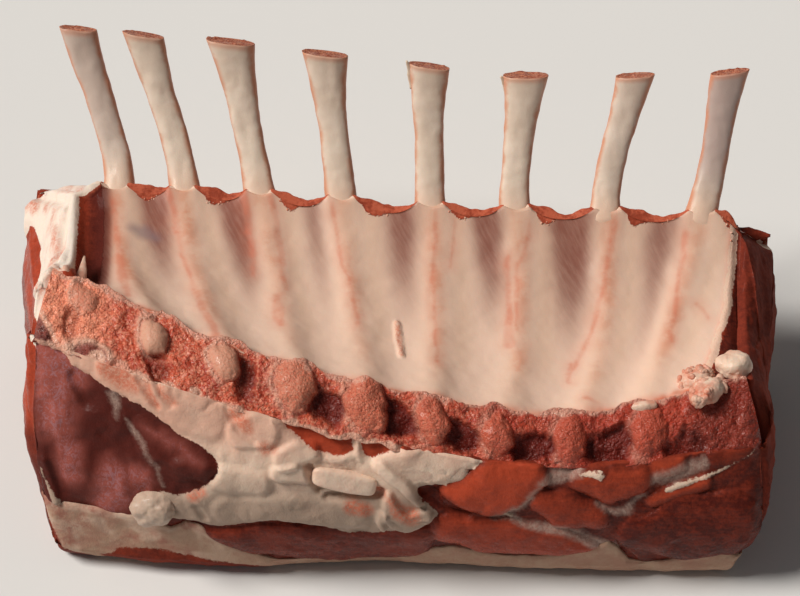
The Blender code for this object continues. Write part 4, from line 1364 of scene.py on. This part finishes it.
def cap_front(t, steps):
    """Rows of the cap's lip on the front, from its torn edge down to the low edge."""
    fine = front_rows(t, (LIP_SEARCH_STEPS, LIP_SEARCH_STEPS))
    middle = fine[LIP_SEARCH_STEPS]
    heights = np.interp(middle[:, 0], *zip(*CAP_EDGE))
    heights = heights + 0.7 * rough(middle, 5.0, 81) * smooth((heights - 7) / 4)
    rows = []
    for k in range(steps):
        z = heights + (7.0 - heights) * k / steps
        row = [np.interp(-z[i], -fine[:, i, 2], np.arange(len(fine))) for i in range(len(t))]
        low = np.floor(row).astype(int).clip(0, len(fine) - 2)
        part = (np.array(row) - low)[:, None]
        column = np.arange(len(t))
        rows.append(fine[low, column] * (1 - part) + fine[low + 1, column] * part)
    return np.array(rows), heights


def cap_marks(p):
    """Where the cap is pale, pink or bare to the lean."""
    x, y, z = p[..., 0], p[..., 1], p[..., 2]
    window = spines(CAP_WINDOWS, x, z) - 4 * (y > -50)
    left_end = smooth((-90 - x) / 8) * smooth((z - 48) / 6)
    red_left = smooth((-96 - x) / 4) * smooth((62 - z) / 5) * smooth((y + 52) / 6)
    bare_end = smooth((x - 96) / 5) * smooth((z - np.where(y > -42, 8, 25)) / 8)
    bare_end = np.maximum(bare_end, red_left)
    low_left = (y < -40) * smooth((-40 - x) / 20)
    below_lip = np.interp(x, *zip(*CAP_EDGE)) - z
    rolled = 0.6 * bell(below_lip - 0.6, 1.1) + 0.35 * smooth(2.2 * rough(p, 8.0, 89))
    return {
        "lean": np.maximum(window, 9 * bare_end - 4.5),
        "fresh_and_lit": 0.5 * red_left,
        "pale": np.maximum(np.maximum(smooth((y + 10) / 40) * 0.75, left_end),
                           np.clip(rolled, 0, 0.45) * low_left),
        "blush": np.clip(0.4 + 1.5 * rough(p, 6.0, 87), 0, 1) * low_left,
    }


def make_cap(sizes, colours):
    """The fat cap: a lip on the front, the underside and the outer side."""
    stations = int(sizes.stations * 0.8)
    t = np.linspace(0, 1, stations)
    lip, heights = cap_front(t, LIP_STEPS)
    run = outer_run(t, *CAP_STEPS)
    outer = np.concatenate([lip, run])
    into = inward(outer)
    below = np.linalg.norm(outer - outer[:1], axis=-1)
    full = smooth((heights - 6.8) / 3.0)
    out = sizes.lip / MM * full * swell(below + 0.25, 2.5)
    fade = np.ones(len(outer))
    fade[len(lip):] = smooth(1 - np.arange(len(run)) / 16)
    out = out * fade[:, None]
    lumps = 0.35 * rough(outer, 9.0, 83) + 0.14 * rough(outer, 3.0, 85)
    off_floor = smooth((outer[..., 2] - 0.3) / 3.0)
    reach = outer[:, -1:, 0] - outer[:, :1, 0]
    from_end = np.minimum(t, 1 - t)[None, :] * reach
    from_top = np.linalg.norm(outer - outer[-1:], axis=-1)
    corner = np.clip(1 - np.minimum(from_end, from_top) / CAP_CORNER, 0, 1)
    out = out - CAP_CORNER * (1 - np.sqrt(1 - corner ** 2)) * 0.85
    outer_face = outer - into * (out + lumps * off_floor)[..., None]
    thick = np.full(len(outer), CAP_THICKNESS)
    thick[:len(lip)] = LIP_THICKNESS
    thick[len(lip):len(lip) + 20] = np.linspace(LIP_THICKNESS, CAP_THICKNESS, 20)
    inner_face = outer + into * thick[:, None, None]
    rings = np.concatenate([outer_face, inner_face[::-1]]).transpose(1, 0, 2)
    count = rings.shape[1]
    half = len(outer)
    k = np.arange(half - 1)
    left = np.stack([k + 1, k, count - 1 - k, count - 2 - k], axis=-1)
    right = left[:, ::-1] + (stations - 1) * count
    return piece("cap_fat", rings.reshape(-1, 3), [ring_quads(stations, count), left, right],
                 cap_look(colours), "fat_cap", cap_marks(rings))


def rib_line(index):
    """Middle line of a rib: under the lining, then bare, with its size at each point."""
    x_chine, x_edge, x_tip, y_tip, z_tip, flare, _ = RIBS[index]
    width = np.linalg.norm(trough_at(x_edge, 1.0) - trough_at(x_chine, 0.0))
    inside = []
    for w in np.linspace(RIB_START / width, 1.0, RIB_STEPS):
        here = trough_at(rib_x(index, w), w)
        near = trough_at(rib_x(index, w - 0.02), w - 0.02)
        step = (here - near) / np.linalg.norm(here - near)
        sunk = RIB_HALF_THICK - RIB_PROUD + RIB_SUNK * smooth((1 - w) / 0.12)
        inside.append(here + np.array([0.0, step[2], -step[1]]) * sunk)
    start = inside[-1]
    way_in = (inside[-1] - inside[-2]) / np.linalg.norm(inside[-1] - inside[-2])
    tip = np.array([x_tip, y_tip, z_tip])
    reach = np.linalg.norm(tip - start)
    rise = math.radians(RIB_RISE)
    way_out = np.array([(x_tip - x_edge) / reach, math.cos(rise), math.sin(rise)])
    steps = np.linspace(0, 1, BONE_STEPS)[1:]
    outside = [bend(start, tip, reach * way_in, reach * way_out, s) for s in steps]
    root = 0.14 * np.exp(-steps / 0.14) * smooth(steps / 0.03)
    sizes = np.concatenate([np.ones(len(inside)),
                            1.0 - RIB_WAIST * np.sin(math.pi * steps) + root
                            + (flare - 1.0) * steps ** 3])
    bare = np.concatenate([np.zeros(len(inside)), steps])
    return np.array(inside + outside), sizes, bare, way_out / np.linalg.norm(way_out)


def make_rib(index, look):
    """One rib, under the lining and bare, with its sawn tip."""
    middle, sizes, bare, way = rib_line(index)
    slope = math.radians(RIBS[index][6])
    tangent = np.gradient(middle, axis=0)
    tangent /= np.linalg.norm(tangent, axis=-1, keepdims=True)
    side = np.cross(tangent, np.cross(np.array([1.0, 0, 0]), tangent))
    side /= np.linalg.norm(side, axis=-1, keepdims=True)
    face = np.cross(side, tangent)
    angle = np.linspace(0, 2 * math.pi, BONE_SPOKES, endpoint=False)
    flat = (np.abs(np.cos(angle)) ** RIB_SQUARENESS
            + np.abs(np.sin(angle)) ** RIB_SQUARENESS) ** (-1 / RIB_SQUARENESS)
    a = np.cos(angle) * flat * RIB_HALF_WIDTH
    b = np.sin(angle) * flat * RIB_HALF_THICK
    rings = (middle[:, None] + sizes[:, None, None] * (side[:, None] * a[:, None]
                                                       + face[:, None] * b[:, None]))
    across_tip = np.array([math.cos(slope), 0.0, math.sin(slope)])
    cut = np.cross(across_tip, np.cross(way, across_tip))
    over = (rings - middle[-1]) @ cut / (way @ cut)
    reach = smooth((bare - 0.75) / 0.25)[:, None]
    rings = rings - way * (over[-1] * reach)[..., None]
    noise = 0.16 * rough(rings, 4.0, 91 + index) + 0.30 * rough(rings * [1, .3, .3], 5.0, 95)
    out = rings - middle[:, None]
    out /= np.linalg.norm(out, axis=-1, keepdims=True)
    rings = rings + out * (noise * smooth(bare * 6)[:, None] * (1 - reach * 0.5))[..., None]
    last = rings[-1]
    heart = last.mean(axis=0)
    shares = (0.97, 0.88, 0.76, 0.62, 0.48, 0.34, 0.2, 0.08)
    tips = np.array([heart + (last - heart) * q for q in shares])
    tips = tips + way * (0.25 * (np.array(shares) > 0.9)[:, None]
                         + 0.35 * rough(tips, 1.2, 97) - 0.25)[..., None]
    rings = np.concatenate([rings, tips])
    count = len(angle)
    bare = np.concatenate([bare, np.ones(len(shares))])
    sawn = np.concatenate([np.zeros(len(middle)), np.ones(len(shares))])
    sawn[len(middle) - 1] = 0.35
    rim = np.abs(np.cos(angle)) * flat
    # The skin shows on both edges; the right edge, away from the key light, gets more of it:
    # partly painted shade.
    rim = np.where(np.cos(angle) > 0, 1.10 * rim ** 2, 0.95 * rim ** 2.6)
    even = np.ones((len(rings), count))
    rim = rim * (1 + 0.45 * np.exp(-bare / 0.12))[:, None]
    marks = {
        "rim": closed_mark(rim * even),
        "tip": closed_mark(smooth((bare - 0.93) / 0.07)[:, None] * even),
        "base": closed_mark(smooth(1 - bare * 3.2)[:, None] * even),
        "grey": closed_mark(RIB_GREYS[index] * smooth(bare * 2)[:, None] * even),
        "sawn": closed_mark(sawn[:, None] * even),
    }
    return piece(f"rib_bone_{index + 1}", closed(rings), skin_faces(*rings.shape[:2]), look,
                 f"rib_{index + 1}", marks)


def backbone_knobs(x, spread, ragged):
    """How far inside a knob each point lies, the knobs' heights, paleness and pale shells, which
    lie on the knobs' left sides towards the light and are partly painted light.
    """
    knob = np.zeros(x.shape)
    height = np.zeros(x.shape)
    pale = np.zeros(x.shape)
    pale_lit_shell = np.zeros(x.shape)
    for knob_x, knob_side, long, wide, high, paleness in KNOBS:
        away = np.hypot((x - knob_x) / long, (spread - knob_side) / wide)
        away = away + ragged * (1 - 0.7 * paleness)
        here = np.clip(1.05 - away ** 2, 0, 1) ** (0.78 - 0.26 * paleness)
        pale = np.where(here > knob, paleness, pale)
        knob = np.maximum(knob, here)
        height = np.maximum(height, high * here)
        # the shell is raised and painted pale only on the knob's left side, towards the light:
        # partly painted light
        left_side = smooth((knob_x - x) / long + 0.35)
        pale_lit_shell = np.maximum(pale_lit_shell, bell(away - 1.15, 0.22) * left_side * (0.3 + 0.7 * paleness))
    return knob, height, pale, pale_lit_shell


def backbone_pits(x, spread, ragged):
    """How dark (dark tissue with painted shade) and how deep the hollows between the knobs are."""
    hollow = np.zeros(x.shape)
    depth = np.zeros(x.shape)
    for pit_x, pit_side, long, wide, deep, darkness_and_shade in PITS:
        away = np.hypot((x - pit_x) / long, (spread - pit_side) / wide) + 1.4 * ragged
        here = smooth((1.25 - away) / 0.6)
        hollow = np.maximum(hollow, darkness_and_shade * here)
        depth = np.maximum(depth, deep * here)
    return hollow, depth


def sawn_face(sizes, face, width, side):
    """Height and colours of the sawn backbone, which run on from piece to piece."""
    along_x = face[..., 0]
    x = along_x + 0.9 * rough(face, 6.0, 99)
    spread = side * width + 0.9 * rough(face, 6.0, 100)
    ragged = 0.16 * rough(face, 4.0, 102)
    knob, height, pale, pale_lit_shell = backbone_knobs(x, spread, ragged)
    hollow, depth = backbone_pits(x, spread, ragged)
    border, size = facets(along_x + 0.8 * rough(face, 2.2, 107), spread, 1.3, 104)
    grains = swell(border, 0.6) * (0.5 + 0.5 * size)
    grain = rough(face, 2.6, 103, 2)
    inside = smooth(np.sin(math.pi * side) * 3.5 + 0.2)
    from_end = np.minimum(along_x + 102, 104 - along_x)
    corner = np.clip(1 - from_end / 4.5, 0, 1)
    rough_bone = 1 - knob * (0.45 + 0.5 * pale)
    out = (CHINE_PROUD * np.sin(math.pi * side) + height - depth * (1 - smooth(knob * 2))
           + 0.8 * pale_lit_shell * (1 - knob) - 3.6 * (1 - np.sqrt(1 - corner ** 2)))
    out = out + inside * sizes.spongy / MM * (0.60 * grain + 0.35 * grains) * rough_bone
    out = out + 0.8 * (1 - side) ** 8 + 1.1 * side ** 6 * smooth((30 - along_x) / 40)
    low_x, low_spread = along_x + 85.5, spread - width + 1.5
    oval = np.hypot(low_x / 5.5, low_spread / 3.0)
    arc = bell(oval - 1.1, 0.28) * smooth((1.5 - low_spread) / 2)
    flow = smooth((side - 0.90 + 0.10 * rough(face, 4.0, 109)) / 0.05)
    flow = flow * smooth((14 - along_x) / 14)
    outside = (spread - 14 - 1.35 * (along_x + 100)) / 1.7 + 0.3 * rough(face, 3.0, 111)
    flow = np.maximum(flow, bell(outside + 0.5, 0.9))
    return out + 0.9 * arc, {
        "knob": smooth(knob * 1.8),
        "knob_pale": pale,
        "hollow": np.clip(hollow * 1.1, 0, 1) * (1 - smooth(knob * 3)),
        "wall": np.clip(pale_lit_shell * 1.2 * (1 - knob), 0, 1),
        "shade": smooth((along_x + 30) / 95),
        # painted light on the left end, off the knobs
        "fresh_and_lit": smooth((-76 - along_x) / 10) * (1 - knob),
        # painted shade towards the right end, over dark meat there
        "far": smooth((along_x - 80 + 2 * grain) / 6),
        "oval": np.maximum(smooth((1.1 - oval) * 4), smooth(outside / 0.6)),
        "fatty": np.clip(np.maximum(flow, arc), 0, 1),
        "lip": smooth((0.09 - side + 0.08 * rough(face, 3.5, 110)) / 0.07),
    }


def make_vertebra(index, joints, look, sizes):
    """One piece of the sawn backbone."""
    x0, x1 = LINES["chine_low"][0]
    columns = 84
    x = np.linspace(joints[index], joints[index + 1], columns)
    t = (x - x0) / (x1 - x0)
    high, low = line("chine_high", t), line("chine_low", t)
    step, left = across(high, low)
    width = np.linalg.norm((low - high)[:, 1:], axis=-1, keepdims=True)
    side = np.linspace(0, 1, 76)[None, :] * np.ones((columns, 1))
    face = high[:, None] + (low - high)[:, None] * side[..., None]
    out, marks = sawn_face(sizes, face, width, side)
    near_knob = np.max([bell(x - knob_x, 5.0) for knob_x in KNOB_X], axis=0)
    near_hollow = np.max([bell(x - knob_x - 8.0, 4.5) for knob_x in KNOB_X], axis=0)
    up = 0.3 + 1.6 * near_knob + 0.8 * rough(high, 4.0, 131)
    down = (0.2 + 0.8 * near_hollow + 0.9 * rough(low, 4.0, 133)) * smooth((40 - x) / 50)
    slide = down[:, None] * side ** 5 - up[:, None] * (1 - side) ** 5
    face = face - left[:, None] * out[..., None] + step[:, None] * slide[..., None]
    foot = np.stack([low + left * (CHINE_DEPTH - GAP), high + left * (CHINE_DEPTH - GAP)], axis=1)
    rings = np.concatenate([face, foot], axis=1)
    hearts = (rings[[0, -1], :-2].mean(axis=1) + 2 * foot[[0, -1]].mean(axis=1)) / 3
    held = {name: closed_mark(np.pad(values, ((0, 0), (0, 2)))) for name, values in marks.items()}
    crisp = np.zeros(rings.shape[:2], int)
    crisp[0], crisp[-1] = 1, 2
    return piece(f"backbone_{index + 1}", closed(rings, hearts), skin_faces(*rings.shape[:2]),
                 look, f"chine_{index + 1}", held,
                 np.append(crisp.ravel(), [0, 0]))


def lump_place(side, t, w, turn):
    """Where a lump lies: its middle, and its three directions."""
    def surface(tt, ww):
        tt = np.array([tt])
        if side == "inner":
            return trough(tt, ww)[0]
        run = front_rows(tt, (20, 20))[:, 0]
        return run[min(int(ww * 40), 39)]
    middle = surface(t, w)
    run = surface(t + 0.02, w) - middle
    fall = surface(t, w + 0.06) - middle
    out = np.cross(fall, run) if side == "front" else np.cross(run, fall)
    out /= np.linalg.norm(out)
    run -= out * np.dot(run, out)
    run /= np.linalg.norm(run)
    up = np.cross(out, run)
    c, s = math.cos(math.radians(turn)), math.sin(math.radians(turn))
    return middle, np.array([run * c + up * s, up * c - run * s, out])


def unit_ball(bands, spokes):
    """Rings of points on a ball 1 in radius, between its two poles on the first axis."""
    polar = np.linspace(0, math.pi, bands + 2)[1:-1]
    angle = np.linspace(0, 2 * math.pi, spokes, endpoint=False)
    return np.stack([np.cos(polar)[:, None] * np.ones(len(angle)),
                     np.sin(polar)[:, None] * np.cos(angle),
                     np.sin(polar)[:, None] * np.sin(angle)], axis=-1)


def make_lump(name, look, squareness, bumpiness, blush=0.0, dull=0.0, loose=False):
    """A lump of fat."""
    side, t, w, long, wide, thick, turn = LUMPS[name]
    middle, ways = lump_place(side, t, w, turn)
    ball = unit_ball(60, 96)
    ball /= np.sum(np.abs(ball) ** squareness, axis=-1, keepdims=True) ** (1 / squareness)
    size = np.array([long, wide, thick])
    seed = len(name)
    ball = ball * (1 + bumpiness * rough(ball * size, 5.0, 111 + seed, 4))[..., None]
    rings = middle + (ball * size) @ ways
    reddened = blush * (0.5 + rough(rings, 4.0, 117))
    marks = {"blush": closed_mark(np.clip(reddened, 0, 1)),
             "dull": closed_mark(np.full(rings.shape[:2], dull))}
    return piece(name if loose else name + "_lump", closed(rings),
                 skin_faces(*rings.shape[:2]), look, None if loose else name, marks)


def crumb_places(name, count, seed, keep=None, mark="blush"):
    """Points in mm and normals of a piece, picked at random where keep(points, mark) holds."""
    mesh = bpy.data.objects[name].data
    points = np.zeros(len(mesh.vertices) * 3)
    ways = np.zeros(len(mesh.vertices) * 3)
    mesh.vertices.foreach_get("co", points)
    mesh.vertices.foreach_get("normal", ways)
    points, ways = points.reshape(-1, 3) / MM, ways.reshape(-1, 3)
    held = np.zeros(len(mesh.vertices))
    mesh.attributes[mark].data.foreach_get("value", held)
    chosen = np.flatnonzero(keep(points, held)) if keep else np.arange(len(points))
    chosen = np.random.default_rng(seed).choice(chosen, min(count, len(chosen)), replace=False)
    return points[chosen], ways[chosen]


def on_torn_edge(points, lining):
    """True for points on the lining's torn border, between the ribs."""
    x, y = points[:, 0], points[:, 1]
    near_rib = np.min([np.abs(x - rib[1]) for rib in RIBS], axis=0)
    return (np.abs(lining) < 0.5) & (y > 12) & (near_rib > 5.5) & (x > -80)


def make_crumbs(name, places, ways, sizes, look, blush, seed):
    """Many small lumps, half sunk at the given places, as one mesh."""
    pick = np.random.default_rng(seed)
    ball = unit_ball(9, 14)
    points, faces, blushes = [], [], []
    for place, way, size in zip(places, ways, sizes):
        spin = np.linalg.qr(pick.normal(size=(3, 3)))[0]
        stretch = size * pick.uniform((0.8, 0.7, 0.6), (1.25, 1.0, 0.9))
        lump = ball * (1 + 0.30 * rough(ball + place, 0.9, seed)[..., None])
        rings = place - way * size * 0.2 + (lump * stretch) @ spin
        offset = sum(len(group) for group in points)
        points.append(closed(rings))
        faces.extend(group + offset for group in skin_faces(*rings.shape[:2]))
        blushes.append(np.full(len(points[-1]), blush * pick.uniform(0.6, 1.0)))
    blushes = np.concatenate(blushes)
    return piece(name, np.vstack(points), faces, look, None,
                 {"blush": blushes, "dull": np.zeros(len(blushes))})


# the way that the flat face of a tag looks
TAG_FACE = (0.0, -0.766, 0.643)


def make_tag(name, path, radii, look, marks):
    """A small tapering tag along a path; radii are (wide, thick) at each point."""
    path = np.array(spline([np.array(p, float) for p in path], [8] * (len(path) - 1))
                    + [np.array(path[-1], float)])
    sizes = np.array([np.interp(np.linspace(0, len(radii) - 1, len(path)),
                                range(len(radii)), column) for column in zip(*radii)]).T
    tangent = np.gradient(path, axis=0)
    tangent /= np.linalg.norm(tangent, axis=-1, keepdims=True)
    side = np.cross(tangent, TAG_FACE)
    side /= np.linalg.norm(side, axis=-1, keepdims=True)
    face = np.cross(side, tangent)
    angle = np.linspace(0, 2 * math.pi, 16, endpoint=False)
    rings = (path[:, None] + side[:, None] * (sizes[:, :1] * np.cos(angle))[..., None]
             + face[:, None] * (sizes[:, 1:] * np.sin(angle))[..., None])
    rings = rings + 0.12 * rough(rings, 1.6, 141)[..., None]
    held = {key: np.full(rings.shape[0] * rings.shape[1] + 2, float(value))
            for key, value in marks.items()}
    return piece(name, closed(rings), skin_faces(*rings.shape[:2]), look, None, held)


# ---------------------------------------------------------------------------------------
# Operators

class LAMB_OT_meat(bpy.types.Operator):
    """Make the meat with its fat sheet, silverskin, lining and torn edge"""
    bl_idname = "lamb.meat"
    bl_label = "Meat"

    def execute(self, context):
        make_meat(context.scene.rack_sizes, context.scene.rack_colours)
        return {"FINISHED"}


class LAMB_OT_cap(bpy.types.Operator):
    """Make the fat cap under the rack and up its outer side"""
    bl_idname = "lamb.cap"
    bl_label = "Fat cap"

    def execute(self, context):
        make_cap(context.scene.rack_sizes, context.scene.rack_colours)
        return {"FINISHED"}


class LAMB_OT_ribs(bpy.types.Operator):
    """Make the eight cleaned ribs"""
    bl_idname = "lamb.ribs"
    bl_label = "Ribs"

    def execute(self, context):
        look = bone_look(context.scene.rack_colours)
        for index in range(len(RIBS)):
            make_rib(index, look)
        return {"FINISHED"}


class LAMB_OT_backbone(bpy.types.Operator):
    """Make the ten pieces of the sawn backbone"""
    bl_idname = "lamb.backbone"
    bl_label = "Backbone"

    def execute(self, context):
        look = marrow_look(context.scene.rack_colours)
        x0, x1 = LINES["chine_low"][0]
        middles = [(a + b) / 2 for a, b in zip(KNOB_X, KNOB_X[1:])]
        joints = [x0, *middles, KNOB_X[-1] + (KNOB_X[-1] - KNOB_X[-2]) / 2, x1]
        for index in range(len(joints) - 1):
            make_vertebra(index, joints, look, context.scene.rack_sizes)
        return {"FINISHED"}


class LAMB_OT_lumps(bpy.types.Operator):
    """Make the five loose lumps of fat"""
    bl_idname = "lamb.lumps"
    bl_label = "Lumps of fat"

    def execute(self, context):
        look = lump_look(context.scene.rack_colours)
        # the nodule and the flap get painted shade
        make_lump("fat_nodule", look, 2.6, 0.16, dull=0.6)
        make_lump("fat_strip", look, 5.0, 0.06)
        make_lump("fat_flap", look, 2.6, 0.14, 0.1, dull=0.3)
        make_lump("fat_clump", look, 2.0, 0.22, 0.5)
        make_lump("fat_block", look, 3.2, 0.16, 0.3)
        return {"FINISHED"}


class LAMB_OT_scraps(bpy.types.Operator):
    """Make the small scraps: crumbs along the edges, skin at two bone tips and a tag"""
    bl_idname = "lamb.scraps"
    bl_label = "Scraps"

    def execute(self, context):
        fat = bpy.data.materials["loose_fat"]
        bone = bpy.data.materials["rib_bone"]
        places, ways = crumb_places("meat_body", 50, 5, on_torn_edge, "lining")
        sizes = np.random.default_rng(6).uniform(0.15, 0.42, len(places))
        make_crumbs("edge_crumbs", places, ways, sizes, fat, 1.0, 7)
        make_lump("fat_curds", fat, 2.0, 0.28, 0.7, loose=True)
        make_lump("fat_curl", fat, 2.4, 0.20, 0.9, loose=True)
        for name, count, seed in (("fat_clump_lump", 46, 8), ("fat_curds", 34, 9)):
            spots, ways = crumb_places(name, count, seed)
            sizes = np.random.default_rng(seed).uniform(0.7, 1.6, count)
            make_crumbs("curds_on_" + name, spots, ways, sizes, fat, 0.95, seed)
        make_tag("rim_flap", [(-91, -19, 71.5), (-89.5, -10, 69.5), (-89.5, -1, 67)],
                 [(2.6, 1.0), (1.6, 0.8), (0.3, 0.3)], fat, {"blush": 0.5, "dull": 0.2})
        skin = {"rim": 1.0, "tip": 0.6, "base": 0.0, "grey": 0.0, "sawn": 0.0}
        make_tag("rib_skin_5", [(5.2, 49.2, 85), (4.9, 50.2, 90), (3.4, 51.0, 94.5)],
                 [(0.9, 0.6), (1.3, 0.5), (0.3, 0.2)], bone, skin)
        make_tag("rib_skin_6", [(33.0, 46.8, 85), (32.4, 47.6, 88.6), (31.0, 48.0, 91)],
                 [(0.8, 0.5), (1.1, 0.4), (0.3, 0.2)], bone, skin)
        make_tag("end_tag", [(100, 22, 47.5), (106, 22.5, 49.5), (112, 21.5, 50.5)],
                 [(4.0, 2.5), (2.4, 1.5), (0.4, 0.3)], bpy.data.materials["raw_meat"],
                 {**PLAIN_LEAN, "tone": 0.35})
        return {"FINISHED"}


class LAMB_OT_stage(bpy.types.Operator):
    """Make the floor, the lights and the camera"""
    bl_idname = "lamb.stage"
    bl_label = "Stage"

    def execute(self, context):
        settings = context.scene.stage_settings
        make_floor(tuple(settings.floor))
        make_lights(settings)
        make_camera(settings)
        return {"FINISHED"}


# the floor's half width, its drop below the rack, the sun's place and the point that the
# camera looks at, in m
FLOOR_HALF = 3.0
FLOOR_DROP = 0.0002
KEY_PLACE = Vector((-0.66, 0.0, 0.78))
CAMERA_TARGET = Vector((0.0015, 0.006, 0.040))


def make_floor(tint):
    """A plain floor that the rack lies on."""
    mesh = bpy.data.meshes.new("floor")
    low = CAD_BOX[0].z - FLOOR_DROP
    corners = [(-FLOOR_HALF, -FLOOR_HALF, low), (FLOOR_HALF, -FLOOR_HALF, low),
               (FLOOR_HALF, FLOOR_HALF, low), (-FLOOR_HALF, FLOOR_HALF, low)]
    mesh.from_pydata(corners, [], [(0, 1, 2, 3)])
    look, recipe = new_look("floor")
    shader = recipe.tree.nodes["Principled BSDF"]
    recipe.feed(shader.inputs["Base Color"], tint)
    shader.inputs["Roughness"].default_value = 0.7
    mesh.materials.append(look)
    floor = bpy.data.objects.new("floor", mesh)
    bpy.context.scene.collection.objects.link(floor)


def make_lights(settings):
    """A wide sun from the left and an even light from all round."""
    data = bpy.data.lights.new("key", "SUN")
    data.energy = settings.key
    data.angle = settings.softness
    data.color = (1.0, 0.95, 0.88)
    lamp = bpy.data.objects.new("key", data)
    lamp.location = KEY_PLACE
    lamp.rotation_euler = (-KEY_PLACE).to_track_quat("-Z", "Y").to_euler()
    bpy.context.scene.collection.objects.link(lamp)
    world = bpy.data.worlds.new("studio")
    world.use_nodes = True
    sky = world.node_tree.nodes["Background"]
    sky.inputs["Color"].default_value = (1.0, 0.98, 0.96, 1.0)
    sky.inputs["Strength"].default_value = settings.fill
    bpy.context.scene.world = world
    bpy.context.scene.view_settings.view_transform = "Standard"


def make_camera(settings):
    """A camera that looks down at the rack's hollow side."""
    data = bpy.data.cameras.new("camera")
    data.lens = settings.lens
    camera = bpy.data.objects.new("camera", data)
    way = Vector((0.0, math.cos(settings.pitch), -math.sin(settings.pitch)))
    camera.location = CAMERA_TARGET - way * settings.distance
    camera.rotation_euler = way.to_track_quat("-Z", "Y").to_euler()
    bpy.context.scene.collection.objects.link(camera)
    bpy.context.scene.camera = camera


class LAMB_PT_panel(bpy.types.Panel):
    """Lists the rack's pieces, sizes and colours"""
    bl_idname = "LAMB_PT_panel"
    bl_label = "Lamb rack"
    bl_space_type = "VIEW_3D"
    bl_region_type = "UI"
    bl_category = "Lamb rack"

    def draw(self, context):
        for operator in OPERATORS:
            self.layout.operator(operator.bl_idname)
        for group in (context.scene.rack_sizes, context.scene.rack_colours,
                      context.scene.stage_settings):
            box = self.layout.box()
            for name in group.__annotations__:
                box.prop(group, name)


OPERATORS = (LAMB_OT_meat, LAMB_OT_cap, LAMB_OT_ribs, LAMB_OT_backbone, LAMB_OT_lumps,
             LAMB_OT_scraps, LAMB_OT_stage)
GROUPS = {"rack_sizes": RackSizes, "rack_colours": RackColours, "stage_settings": StageSettings}


def register():
    for made in (*GROUPS.values(), *OPERATORS, LAMB_PT_panel):
        bpy.utils.register_class(made)
    for name, group in GROUPS.items():
        setattr(bpy.types.Scene, name, PointerProperty(type=group))


def unregister():
    for name in GROUPS:
        delattr(bpy.types.Scene, name)
    for made in (LAMB_PT_panel, *reversed(OPERATORS), *GROUPS.values()):
        bpy.utils.unregister_class(made)


def main():
    register()
    for operator in OPERATORS:
        family, name = operator.bl_idname.split(".")
        getattr(getattr(bpy.ops, family), name)()


if __name__ == "__main__":
    main()
